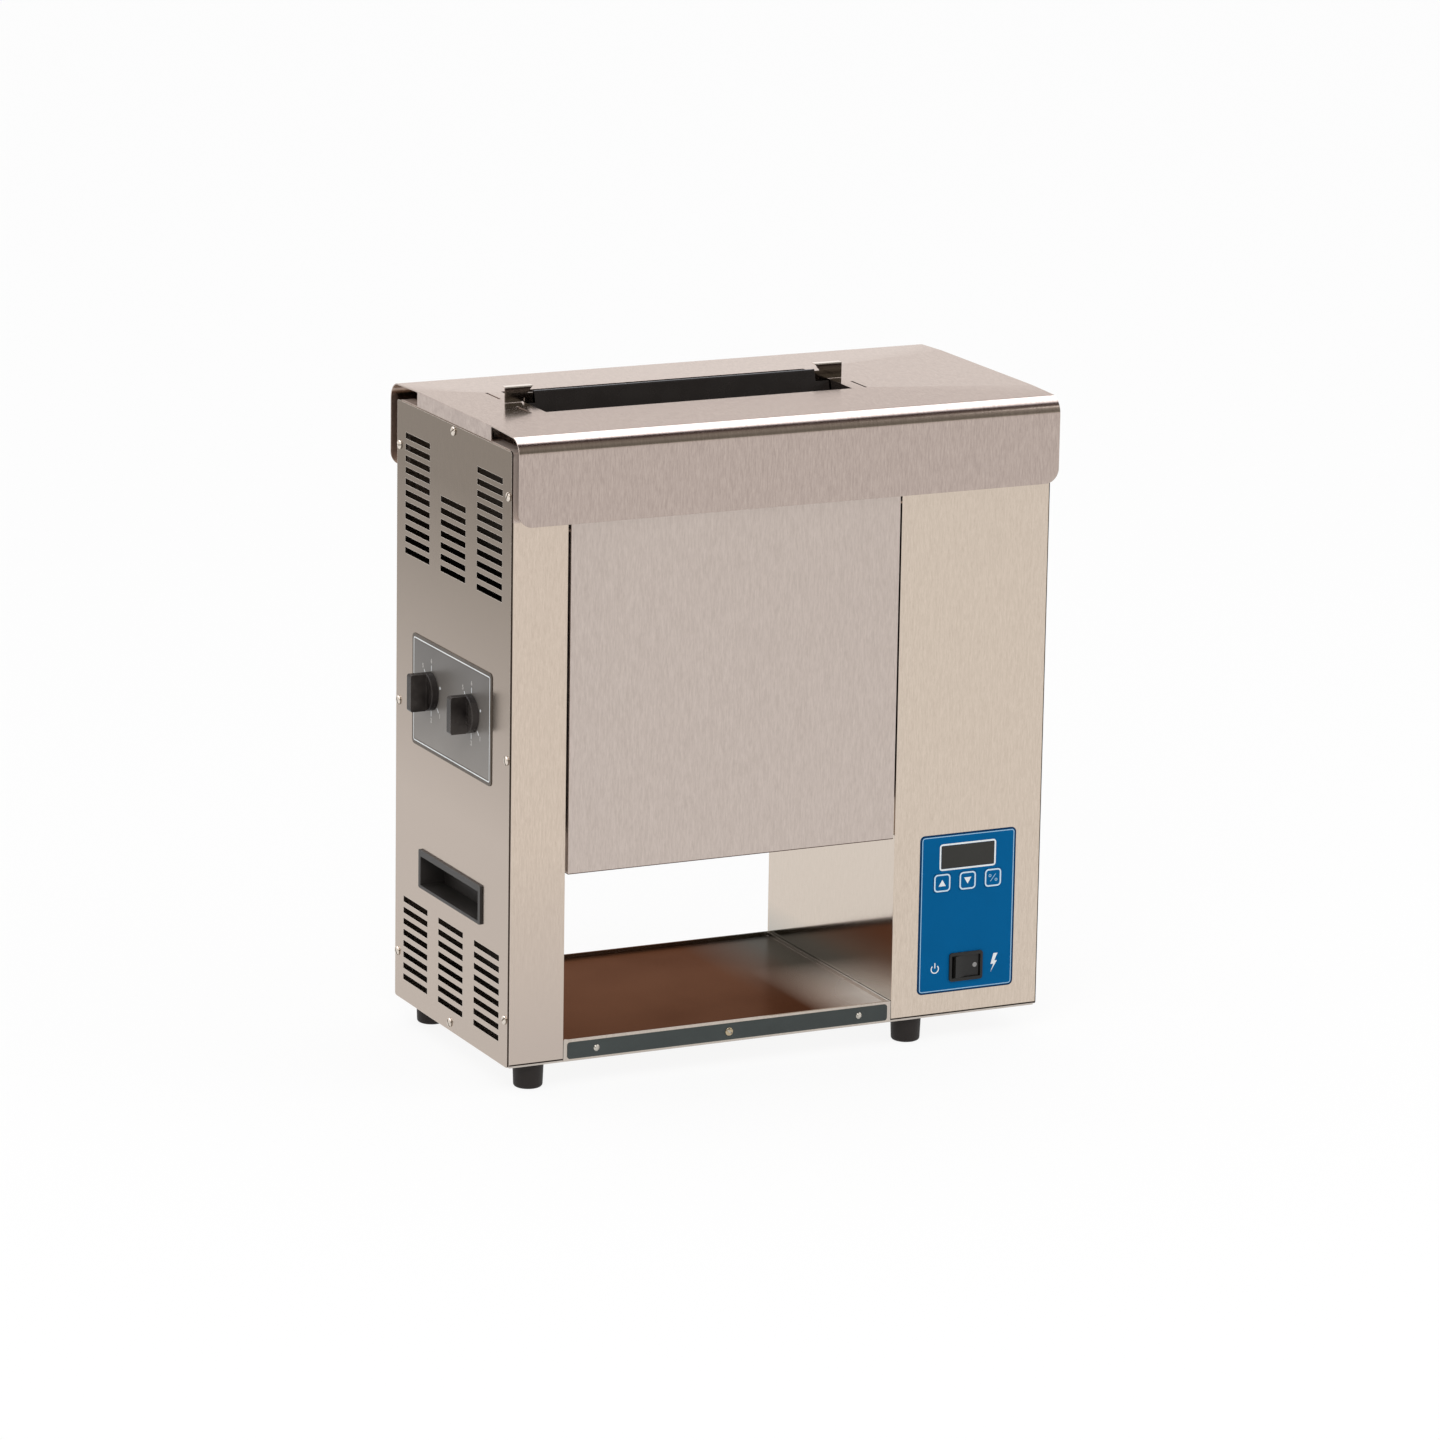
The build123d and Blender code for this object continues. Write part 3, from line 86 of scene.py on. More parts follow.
def spread(tree, value, low, high, fromLow=0.0, fromHigh=1.0):
    feeds = {"Value": value, "From Min": fromLow, "From Max": fromHigh, "To Min": low, "To Max": high}
    return put(tree, "ShaderNodeMapRange", feeds).outputs[0]


noiseSet = {"low": 0.3, "high": 0.7, "bump": 0.05 * mm}  # most of a noise's values lie between low and high


def spreadNoise(tree, value, low, high):
    return spread(tree, value, low, high, noiseSet["low"], noiseSet["high"])


def objectAxes(tree):
    place = put(tree, "ShaderNodeTexCoord").outputs["Object"]
    return put(tree, "ShaderNodeSeparateXYZ", {0: place}).outputs


def ramp(tree, share, stops):
    node = put(tree, "ShaderNodeValToRGB", {0: share})
    elements = node.color_ramp.elements
    elements.remove(elements[-1])
    for index, (place, level) in enumerate(stops):
        element = elements[0] if index == 0 else elements.new(place)
        element.position = place
        element.color = level
    return node.outputs[0]


def newGroup(name, inputs, outputs):
    group = bpy.data.node_groups.new(name, "ShaderNodeTree")
    for label, kind, value in inputs:
        group.interface.new_socket(label, in_out="INPUT", socket_type=kind).default_value = value
    for label in outputs:
        group.interface.new_socket(label, in_out="OUTPUT", socket_type="NodeSocketFloat")
    return group, put(group, "NodeGroupInput").outputs, put(group, "NodeGroupOutput").inputs


def newMaterial(name):
    material = bpy.data.materials.new(name)
    material.use_nodes = True
    return material, material.node_tree, material.node_tree.nodes["Principled BSDF"]


def setGloss(shader, **values):
    for key, value in values.items():
        shader.inputs[key.replace("_", " ")].default_value = value


def linkFinish(tree, shader, colour, roughness, relief, height):
    # the three links that every finish has
    tree.links.new(colour, shader.inputs["Base Color"])
    tree.links.new(roughness, shader.inputs["Roughness"])
    bump = put(tree, "ShaderNodeBump", {"Strength": relief, "Distance": noiseSet["bump"], "Height": height})
    tree.links.new(bump.outputs[0], shader.inputs["Normal"])


# Effects that several finishes share

brushSet = {"fineness": (900, 900, 45), "cloudSize": 7.0, "grainRough": 0.65, "streakScale": 0.4}


def makeBrushGroup():
    # drawn-out grain, a longer streak in it, and a slow cloud for hand marks
    group, start, end = newGroup(
        "brushedGrain",
        [
            ("Fineness", "NodeSocketVector", brushSet["fineness"]),
            ("Cloud Size", "NodeSocketFloat", brushSet["cloudSize"]),
        ],
        ["Grain", "Streak", "Cloud"],
    )
    place = put(group, "ShaderNodeTexCoord").outputs["Object"]
    drawnFeeds = {0: place, 1: start["Fineness"]}
    drawn = put(group, "ShaderNodeVectorMath", drawnFeeds, operation="MULTIPLY").outputs[0]
    grainFeeds = {"Vector": drawn, "Scale": 1.0, "Detail": 3.0, "Roughness": brushSet["grainRough"]}
    grain = put(group, "ShaderNodeTexNoise", grainFeeds)
    longerFeeds = {0: drawn, "Scale": brushSet["streakScale"]}
    longer = put(group, "ShaderNodeVectorMath", longerFeeds, operation="SCALE").outputs[0]
    streak = put(group, "ShaderNodeTexNoise", {"Vector": longer, "Scale": 1.0, "Detail": 1.0})
    cloud = put(group, "ShaderNodeTexNoise", {"Vector": place, "Scale": start["Cloud Size"], "Detail": 2.0})
    group.links.new(grain.outputs[0], end["Grain"])
    group.links.new(streak.outputs[0], end["Streak"])
    group.links.new(cloud.outputs[0], end["Cloud"])
    return group


speckleSet = {"speckleSize": 2600.0, "cloudSize": 30.0}


def makeSpeckleGroup():
    # the fine matt texture of a moulding
    group, start, end = newGroup(
        "mouldedSpeckle",
        [
            ("Speckle Size", "NodeSocketFloat", speckleSet["speckleSize"]),
            ("Cloud Size", "NodeSocketFloat", speckleSet["cloudSize"]),
        ],
        ["Speckle", "Cloud"],
    )
    place = put(group, "ShaderNodeTexCoord").outputs["Object"]
    speckleFeeds = {"Vector": place, "Scale": start["Speckle Size"], "Detail": 2.0}
    speckle = put(group, "ShaderNodeTexNoise", speckleFeeds)
    cloud = put(group, "ShaderNodeTexNoise", {"Vector": place, "Scale": start["Cloud Size"], "Detail": 3.0})
    group.links.new(speckle.outputs[0], end["Speckle"])
    group.links.new(cloud.outputs[0], end["Cloud"])
    return group


wearAndHighlightSet = {"reach": 0.5 * mm, "patchiness": 60.0, "begins": 0.98, "full": 0.80, "samples": 4}


def makeWearAndHighlightGroup():
    # where a rounded normal differs from the true one there is an edge
    group, start, end = newGroup(
        "edgeWear",
        [
            ("Reach", "NodeSocketFloat", wearAndHighlightSet["reach"]),
            ("Patchiness", "NodeSocketFloat", wearAndHighlightSet["patchiness"]),
        ],
        ["Edge"],
    )
    rounded = put(group, "ShaderNodeBevel", {"Radius": start["Reach"]}, samples=wearAndHighlightSet["samples"]).outputs[0]
    true = put(group, "ShaderNodeNewGeometry").outputs["True Normal"]
    facings = {0: rounded, 1: true}
    alike = put(group, "ShaderNodeVectorMath", facings, operation="DOT_PRODUCT").outputs["Value"]
    place = put(group, "ShaderNodeTexCoord").outputs["Object"]
    patch = put(group, "ShaderNodeTexNoise", {"Vector": place, "Scale": start["Patchiness"], "Detail": 3.0})
    edge = spread(group, alike, 0.0, 1.0, wearAndHighlightSet["begins"], wearAndHighlightSet["full"])
    group.links.new(calc(group, "MULTIPLY", edge, patch.outputs[0]), end["Edge"])
    return group


brushGroup = makeBrushGroup()
speckleGroup = makeSpeckleGroup()
wearAndHighlightGroup = makeWearAndHighlightGroup()


def feedGroup(tree, group, feeds):
    node = put(tree, "ShaderNodeGroup", None, node_tree=group)
    for key, value in feeds.items():
        node.inputs[key].default_value = value
    return node


# Finishes

steelSet = {
    "grainShare": 0.6, "streakShare": 0.4, "contrast": (0.35, 0.65), "grainRough": 0.04, "cloudRough": 0.03,
    "blur": 0.3 * mm, "hoodBlur": 1 * mm, "rimFull": 0.3,
}


def makeSteel(name, fineness, light, dark, roughness, relief=0.15, rise=None, hem=None, rim=None, fold=None):
    # rise: another tone that takes over low down; hem: a shadow line along the folded lower edge
    # rim: a painted highlight, a pale line along cut edges; fold: a painted highlight strip on a rounded
    # corner, and painted light on it under the skirt, where it is made less metallic
    material, tree, shader = newMaterial(name)
    grain = feedGroup(tree, brushGroup, {"Fineness": fineness}).outputs
    fine = calc(tree, "MULTIPLY", grain["Grain"], steelSet["grainShare"])
    mixed = calc(tree, "ADD", fine, calc(tree, "MULTIPLY", grain["Streak"], steelSet["streakShare"]))
    colour = mixTone(tree, spread(tree, mixed, 0.0, 1.0, *steelSet["contrast"]), light, dark)
    across, _, height = objectAxes(tree)
    if rise:
        colour = mixTone(tree, spread(tree, height, 1.0, 0.0, rise["from"], rise["to"]), colour, rise["tone"])
    if hem:
        line = spread(tree, height, 1.0, 0.0, hem["top"] - steelSet["blur"], hem["top"])
        colour = mixTone(tree, line, colour, hem["tone"])
    # painted highlight: a pale line along the cut edges
    if rim:
        edge = feedGroup(tree, wearAndHighlightGroup, {"Reach": rim["reach"]}).outputs[0]
        colour = mixTone(tree, spread(tree, edge, 0.0, 1.0, 0.0, steelSet["rimFull"]), colour, rim["tone"])
    # painted highlight strip along the rounded corner, paler low down; under the skirt, painted light on a
    # less metallic patch
    if fold:
        strip = spread(tree, across, 1.0, 0.0, fold["x"] - steelSet["blur"], fold["x"])
        level = spread(tree, height, 0.0, 1.0, fold["low"], fold["high"])
        colour = mixTone(tree, strip, colour, mixTone(tree, level, fold["lowTone"], fold["highTone"]))
        tucked = spread(tree, height, 0.0, 1.0, fold["hood"] - steelSet["hoodBlur"], fold["hood"])
        beside = spread(tree, across, 1.0, 0.0, fold["hoodX"] - steelSet["hoodBlur"], fold["hoodX"])
        underSkirtLight = calc(tree, "MULTIPLY", tucked, beside)
        colour = mixTone(tree, underSkirtLight, colour, fold["hoodTone"])
        tree.links.new(spread(tree, underSkirtLight, 1.0, fold["hoodMetal"]), shader.inputs["Metallic"])
    else:
        setGloss(shader, Metallic=1.0)
    byGrain = spread(tree, grain["Grain"], -steelSet["grainRough"], steelSet["grainRough"])
    byCloud = spread(tree, grain["Cloud"], -steelSet["cloudRough"], steelSet["cloudRough"])
    rough = calc(tree, "ADD", calc(tree, "ADD", byGrain, byCloud), roughness)
    linkFinish(tree, shader, colour, rough, relief, grain["Grain"])
    return material


mouldSet = {"edgeShare": 0.8, "roughSpread": 0.05}


def makeMoulding(
    name, colour, wearAndHighlightTone, roughness, relief=0.12, speckleSize=2600.0, reach=0.5 * mm, sheen=0.5, patch=0.15,
):
    material, tree, shader = newMaterial(name)
    speckle = feedGroup(tree, speckleGroup, {"Speckle Size": speckleSize}).outputs
    edge = feedGroup(tree, wearAndHighlightGroup, {"Reach": reach}).outputs[0]
    base = mixTone(tree, spreadNoise(tree, speckle["Cloud"], 0.0, patch), colour, wearAndHighlightTone)
    # edges take that tone: wear on most mouldings, a painted highlight along the knobs' bevels
    rubbedAndHighlit = mixTone(tree, calc(tree, "MULTIPLY", edge, mouldSet["edgeShare"]), base, wearAndHighlightTone)
    low, high = roughness - mouldSet["roughSpread"], roughness + mouldSet["roughSpread"]
    rough = spreadNoise(tree, speckle["Cloud"], low, high)
    linkFinish(tree, shader, rubbedAndHighlit, rough, relief, speckle["Speckle"])
    setGloss(shader, Specular_IOR_Level=sheen)
    return material


upDown = (1500, 1500, 190)  # brushed up and down
overBend = (1500, 190, 190)  # brushed front to back, over the bends
sideways = (190, 1500, 1500)
evenly = (300, 300, 300)  # turned or plated, with no grain of its own
# painted shadow lines along the lower folded edges of the housings and of the access panels
hemShadowLine = {"top": 29.6 * mm, "tone": tone(42, 34, 30)}
panelHemShadow = {"top": 214.9 * mm, "tone": tone(70, 50, 42)}
# painted highlight along the end panels' cut edges and louvre slots
cutEdgeHighlight = {"reach": 0.9 * mm, "tone": tone(236, 224, 214)}
# painted highlight strip on the left housing's rounded front corner, and painted light where the cover's
# skirt shades it
cornerFoldHighlight = {
    "x": -274.4 * mm, "low": 0.15, "high": 0.35,
    "lowTone": tone(232, 220, 208), "highTone": tone(160, 148, 134),
    "hood": 562 * mm, "hoodX": -262 * mm, "hoodTone": tone(196, 180, 170), "hoodMetal": 0.35,
}
# the left housing is darker towards the bottom
leftLowerDarker = {"from": 0.043, "to": 0.243, "tone": tone(190, 177, 167)}
# partly heat tint, partly painted shade: the end panels are dark at the top, standing for a darker part of
# the studio reflected in them, and paler low down
endShadeFade = {"from": 0.243, "to": 0.573, "tone": tone(184, 170, 158)}
# painted shade: the lowest part of the chamber walls is darker and greyer, standing in for the tray's dark
# reflection
chamberLowShade = {"from": 0.045, "to": 0.08, "tone": tone(184, 180, 172)}

coverSteel = makeSteel("cover_steel", overBend, tone(191, 176, 167), tone(171, 156, 148), 0.17, 0.09)
panelSteel = makeSteel(
    "panel_steel", upDown, tone(204, 191, 183), tone(188, 175, 167), 0.34, 0.11, hem=panelHemShadow,
)
housingSteel = makeSteel(
    "housing_steel", upDown, tone(213, 198, 183), tone(200, 185, 170), 0.20, 0.07, hem=hemShadowLine,
)
leftSteel = makeSteel(
    "left_housing_steel", upDown, tone(213, 197, 182), tone(200, 184, 169), 0.20, 0.07,
    rise=leftLowerDarker, hem=hemShadowLine, fold=cornerFoldHighlight,
)
# the end panels' dark tones are partly heat tint, partly painted shade
endSteel = makeSteel(
    "end_steel", upDown, tone(120, 106, 92), tone(114, 101, 87), 0.20, 0.05, rise=endShadeFade, rim=cutEdgeHighlight,
)
# painted shade for the end panels' front edges
edgeShadeSteel = makeSteel("sheet_edge", sideways, tone(76, 65, 57), tone(62, 53, 47), 0.40)
chamberSteel = makeSteel(
    "chamber_steel", upDown, tone(211, 198, 185), tone(206, 193, 180), 0.08, 0.02, rise=chamberLowShade,
)
# painted shade: dark steel for faces seen only through gaps
bayShadeSteel = makeSteel("baked_steel", upDown, tone(70, 62, 54), tone(52, 46, 40), 0.42, 0.05)
traySteel = makeSteel("tray_steel", overBend, tone(196, 186, 176), tone(184, 174, 164), 0.16, 0.05)
plainSteel = makeSteel("plain_steel", sideways, tone(200, 192, 184), tone(184, 176, 168), 0.34)
darkSteel = makeSteel("dark_steel", sideways, tone(120, 116, 112), tone(92, 88, 85), 0.38)
zincPlate = makeSteel("zinc_plate", evenly, tone(205, 200, 190), tone(170, 166, 158), 0.30, 0.05)
castAluminium = makeSteel(
    "cast_aluminium", (140, 140, 140), tone(190, 190, 188), tone(160, 160, 158), 0.45, 0.3,
)
oiledBronze = makeSteel("oiled_bronze", (260, 260, 260), tone(176, 132, 84), tone(130, 92, 56), 0.40, 0.1)

earSet = {
    "foot": 650.3 * mm, "top": 662.8 * mm, "fleck": tone(60, 54, 50), "fleckShare": 0.12,
    "rough": (0.10, 0.16), "relief": 0.03,
    "bands": [
        (0.0, tone(128, 119, 109)), (0.22, tone(100, 90, 83)), (0.5, tone(142, 131, 121)),
        (0.72, tone(116, 104, 97)), (0.84, tone(64, 48, 46)), (0.90, tone(64, 48, 46)),
        (0.92, tone(252, 248, 244)),
    ],
}


def makeEarSteel():
    # polished ears with painted reflections: a painted highlight on the turned-back top, a painted dark line
    # just under it, and painted shade in soft banded tones on the face below
    material, tree, shader = newMaterial("ear_steel")
    grain = feedGroup(tree, brushGroup, {"Fineness": upDown}).outputs
    share = spread(tree, objectAxes(tree)[2], 0.0, 1.0, earSet["foot"], earSet["top"])
    fleck = spreadNoise(tree, grain["Grain"], 0.0, earSet["fleckShare"])
    colour = mixTone(tree, fleck, ramp(tree, share, earSet["bands"]), earSet["fleck"])
    rough = spread(tree, grain["Cloud"], *earSet["rough"])
    linkFinish(tree, shader, colour, rough, earSet["relief"], grain["Grain"])
    setGloss(shader, Metallic=1.0)
    return material


coatSet = {
    "shineFrom": 0.055, "shineTo": 0.135, "shadeFrom": 0.03, "shadeTo": 0.11, "front": -0.09, "rear": 0.03,
    "fineness": (40, 500, 500), "cloudSize": 9.0, "cloud": (0.35, 0.7), "brown": tone(106, 76, 60),
    "burnt": tone(92, 64, 50), "shaded": tone(94, 92, 88), "bareHighlight": tone(246, 240, 234), "bareHighlightMetal": 0.35,
    "brownTint": (0.52, 0.44, 0.41, 1.0), "shadedTint": (0.50, 0.50, 0.49, 1.0), "bareHighlightTint": (1, 1, 1, 1),
    "rough": (0.20, 0.30), "relief": 0.05,
}


def makeTrayCoating():
    # brown release coating on the tray's floor, with painted shade making it greyer at the right rear; at the
    # right front the coating is worn through to bare steel, painted bright as a highlight
    material, tree, shader = newMaterial("tray_coating")
    brush = {"Fineness": coatSet["fineness"], "Cloud Size": coatSet["cloudSize"]}
    grain = feedGroup(tree, brushGroup, brush).outputs
    across, depth, _ = objectAxes(tree)
    shine = spread(tree, across, 0.0, 1.0, coatSet["shineFrom"], coatSet["shineTo"])
    rubbedAndHighlit = calc(tree, "MULTIPLY", shine, spread(tree, depth, 1.0, 0.0, coatSet["front"], coatSet["rear"]))
    right = spread(tree, across, 0.0, 1.0, coatSet["shadeFrom"], coatSet["shadeTo"])
    rear = calc(tree, "MULTIPLY", right, spread(tree, depth, 0.0, 1.0, coatSet["front"], coatSet["rear"]))
    cloudy = spread(tree, grain["Cloud"], 0.0, 1.0, *coatSet["cloud"])
    base = mixTone(tree, rear, mixTone(tree, cloudy, coatSet["brown"], coatSet["burnt"]), coatSet["shaded"])
    tint = mixTone(tree, rear, coatSet["brownTint"], coatSet["shadedTint"])
    tree.links.new(mixTone(tree, rubbedAndHighlit, tint, coatSet["bareHighlightTint"]), shader.inputs["Specular Tint"])
    tree.links.new(spread(tree, rubbedAndHighlit, 1.0, coatSet["bareHighlightMetal"]), shader.inputs["Metallic"])
    colour = mixTone(tree, rubbedAndHighlit, base, coatSet["bareHighlight"])
    rough = spread(tree, grain["Grain"], *coatSet["rough"])
    linkFinish(tree, shader, colour, rough, coatSet["relief"], grain["Grain"])
    return material


filmSet = {"speckleSize": 900.0, "cloudSize": 16.0, "roughSpread": 0.04, "relief": 0.04}


def makeFilm(name, colour, faded, roughness, sheen=0.5):
    # printed polyester: flat colour with a faint mottle and an orange-peel face
    material, tree, shader = newMaterial(name)
    feeds = {"Speckle Size": filmSet["speckleSize"], "Cloud Size": filmSet["cloudSize"]}
    speckle = feedGroup(tree, speckleGroup, feeds).outputs
    base = mixTone(tree, spreadNoise(tree, speckle["Cloud"], 0.0, 1.0), colour, faded)
    low, high = roughness - filmSet["roughSpread"], roughness + filmSet["roughSpread"]
    rough = spreadNoise(tree, speckle["Cloud"], low, high)
    linkFinish(tree, shader, base, rough, filmSet["relief"], speckle["Speckle"])
    setGloss(shader, Specular_IOR_Level=sheen)
    return material


screwFinish = {
    "gap": 1.6 * mm, "samples": 8, "shaded": (0.35, 0.85),
    "mottle": 0.3, "rough": (0.22, 0.32), "relief": 0.05,
}


def makeScrewSteel(name, colour, shade):
    # painted shade from ambient occlusion: dark in the slot and at the foot of the head
    material, tree, shader = newMaterial(name)
    grain = feedGroup(tree, brushGroup, {"Fineness": evenly}).outputs
    gap = {"Distance": screwFinish["gap"]}
    openness = put(tree, "ShaderNodeAmbientOcclusion", gap, samples=screwFinish["samples"]).outputs["AO"]
    bright = spread(tree, openness, 0.0, 1.0, *screwFinish["shaded"])
    mottled = mixTone(tree, spreadNoise(tree, grain["Grain"], 0.0, screwFinish["mottle"]), colour, shade)
    shaded = mixTone(tree, bright, shade, mottled)
    rough = spread(tree, grain["Cloud"], *screwFinish["rough"])
    linkFinish(tree, shader, shaded, rough, screwFinish["relief"], grain["Grain"])
    setGloss(shader, Metallic=1.0)
    return material


fieldSet = {
    "low": 0.303, "high": 0.403, "upper": tone(90, 86, 82), "lower": tone(126, 120, 114),
    "mottle": tone(84, 80, 77), "mottleShare": 0.25, "cloudSize": 14.0, "rough": (0.34, 0.44),
}


def makeDialField():
    # grey print on the dial plate, paler low down
    material, tree, shader = newMaterial("dial_field")
    feeds = {"Speckle Size": filmSet["speckleSize"], "Cloud Size": fieldSet["cloudSize"]}
    speckle = feedGroup(tree, speckleGroup, feeds).outputs
    fall = spread(tree, objectAxes(tree)[2], 1.0, 0.0, fieldSet["low"], fieldSet["high"])
    base = mixTone(tree, fall, fieldSet["upper"], fieldSet["lower"])
    mottle = calc(tree, "MULTIPLY", speckle["Cloud"], fieldSet["mottleShare"])
    rough = spreadNoise(tree, speckle["Cloud"], *fieldSet["rough"])
    shaded = mixTone(tree, mottle, base, fieldSet["mottle"])
    linkFinish(tree, shader, shaded, rough, filmSet["relief"], speckle["Speckle"])
    return material


earSteel = makeEarSteel()
trayCoating = makeTrayCoating()
gripMoulding = makeMoulding(
    "grip_moulding", tone(40, 37, 35), tone(84, 79, 75), 0.42, sheen=0.35, reach=0.8 * mm,
)
blackMoulding = makeMoulding("black_moulding", tone(26, 25, 24), tone(60, 57, 54), 0.40, sheen=0.3)
# painted highlight: the knob's pale edge tone lines the bevels of its bar
knobMoulding = makeMoulding(
    "knob_moulding", tone(25, 21, 20), tone(150, 142, 136), 0.26, 0.05, reach=0.45 * mm, sheen=0.15,
)
footRubber = makeMoulding("foot_rubber", tone(32, 27, 25), tone(62, 56, 53), 0.55, 0.2, 1200.0, sheen=0.25)
beltSilicone = makeMoulding(
    "belt_silicone", tone(26, 22, 21), tone(52, 46, 42), 0.28, 0.10, 900.0, sheen=0.4, patch=0.08,
)
releaseFilm = makeMoulding(
    "release_film", tone(24, 19, 18), tone(52, 44, 40), 0.26, 0.08, 1500.0, sheen=0.35, patch=0.08,
)
motorPaint = makeMoulding("motor_paint", tone(58, 62, 66), tone(120, 120, 118), 0.45, 0.15)
ironCore = makeMoulding("iron_core", tone(92, 86, 80), tone(130, 96, 60), 0.55, 0.3, 1400.0)
terminalWhite = makeMoulding("terminal_white", tone(212, 208, 198), tone(232, 230, 224), 0.42)
overlayBlue = makeFilm("overlay_blue", tone(0, 87, 138), tone(0, 83, 132), 0.42, 0.04)
edgeBlue = makeFilm("edge_blue", tone(8, 44, 78), tone(6, 40, 72), 0.42, 0.04)
inkWhite = makeFilm("ink_white", tone(226, 228, 228), tone(210, 214, 216), 0.45)
inkKey = makeFilm("ink_key", tone(196, 212, 224), tone(186, 204, 218), 0.45)
inkPaleBlue = makeFilm("ink_pale_blue", tone(150, 186, 210), tone(138, 176, 202), 0.45)
inkGrey = makeFilm("ink_grey", tone(214, 210, 204), tone(196, 192, 186), 0.45)
inkDot = makeFilm("ink_dot", tone(134, 132, 130), tone(124, 122, 120), 0.45)
displayGlass = makeFilm("display_glass", tone(50, 49, 46), tone(45, 44, 41), 0.24, 0.2)
dialBorder = makeFilm("dial_border", tone(88, 78, 68), tone(76, 67, 58), 0.38, 0.3)
stripGreen = makeFilm("strip_grey_green", tone(57, 63, 62), tone(50, 55, 54), 0.40, 0.3)
boardGreen = makeFilm("board_green", tone(28, 82, 52), tone(22, 68, 44), 0.45)
dialField = makeDialField()
screwZinc = makeScrewSteel("screw_zinc", tone(232, 222, 210), tone(70, 54, 46))
screwBrass = makeScrewSteel("screw_brass", tone(190, 174, 146), tone(66, 54, 44))
print("finishes made")


# Helpers for pieces

def settledMesh(source, keepLayers=False):
    graph = bpy.context.evaluated_depsgraph_get()
    final = source.evaluated_get(graph)
    return bpy.data.meshes.new_from_object(final, preserve_all_data_layers=keepLayers, depsgraph=graph)


def settle(piece):
    # the evaluated result becomes the piece's own plain mesh
    mesh = settledMesh(piece, True)
    piece.modifiers.clear()
    piece.data = mesh
    return piece


def newObject(name, data):
    piece = bpy.data.objects.new(name, data)
    scene.collection.objects.link(piece)
    return piece


def meshFrom(bm, name, material=None):
    mesh = bpy.data.meshes.new(name)
    bm.to_mesh(mesh)
    bm.free()
    if material:
        mesh.materials.append(material)
    return mesh


def join(piece, body, slot, *nodes):
    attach(piece, body)
    if nodes:
        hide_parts(*nodes)
    return piece


def roundEdges(piece, width):
    if width:
        bevel = piece.modifiers.new("edges", "BEVEL")
        bevel.width = width
        bevel.segments = 2
        bevel.limit_method = "ANGLE"
        bevel.angle_limit = foldAngle
    weigh = piece.modifiers.new("weigh", "WEIGHTED_NORMAL")
    weigh.keep_sharp = True
    weigh.weight = 100
    return settle(piece)


def welded(node):
    bm = bmesh.new()
    bm.from_mesh(frame["nodes"][node].data)
    bmesh.ops.remove_doubles(bm, verts=bm.verts, dist=weldGap)
    return bm


def mergedCopy(node):
    mesh = meshFrom(welded(node), node + "_mesh")
    stale = mesh.attributes.get("custom_normal")
    if stale:
        mesh.attributes.remove(stale)
    mesh.materials.clear()
    mesh.shade_smooth()
    mesh.set_sharp_from_angle(angle=foldAngle)
    return mesh


def refine(node, material, width):
    # the node's own shape with its edges broken
    piece = newObject(node + "_finished", mergedCopy(node))
    piece.data.materials.append(material)
    roundEdges(piece, width)
    return join(piece, bodyOf[node], frame["nodes"][node]["finishSlot"], node)


def dress(node, material):
    data = frame["nodes"][node].data
    for index in range(len(data.materials)):
        data.materials[index] = material


for node, piece in frame["nodes"].items():
    piece["finishSlot"] = piece.data.materials[0].name

# Sheet metal: case parts with their edges broken, but for those whose small openings leave no room for it
sheetSet = {
    "width": 0.22 * mm,
    "plain": ("left_housing", "right_housing", "left_end_panel", "right_end_panel", "sheet_hanger"),
    "trayRim": 3.0 * mm, "frontDeep": 1 * mm,
}
caseFinish = {
    "top_cover": coverSteel,
    "front_access_panel": panelSteel,
    "rear_access_panel": panelSteel,
    "left_housing": leftSteel,
    "right_housing": housingSteel,
    "left_end_panel": endSteel,
    "right_end_panel": endSteel,
    "left_chamber_wall": chamberSteel,
    "right_chamber_wall": chamberSteel,
    "landing_tray": traySteel,
    "sheet_hanger": earSteel,
}
for node, material in caseFinish.items():
    refine(node, material, 0 if node in sheetSet["plain"] else sheetSet["width"])


def secondFinish(node, material, chosen):
    # the chosen faces of a finished piece get another material
    data = bpy.data.objects[node + "_finished"].data
    data.materials.append(material)
    for face in data.polygons:
        face.material_index = int(chosen(face))


# the tray is coated behind its front rim, wherever it faces up
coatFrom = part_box("landing_tray")[0].y + sheetSet["trayRim"]
secondFinish("landing_tray", trayCoating, lambda face: face.center.y > coatFrom and face.normal.z > faceOn)
# painted shade: the front edge of an end panel's sheet is dark, a dark seam beside the housing
for node in ("left_end_panel", "right_end_panel"):
    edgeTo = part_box(node)[0].y + sheetSet["frontDeep"]
    secondFinish(node, edgeShadeSteel, lambda face: face.normal.y < -faceOn and face.center.y < edgeTo)
# painted shade: the sides of the chamber walls that face the closed bays are dark, so the gaps beside the
# walls show dark
secondFinish("left_chamber_wall", bayShadeSteel, lambda face: face.normal.x < -faceOn)
secondFinish("right_chamber_wall", bayShadeSteel, lambda face: face.normal.x > faceOn)
print("case parts finished")

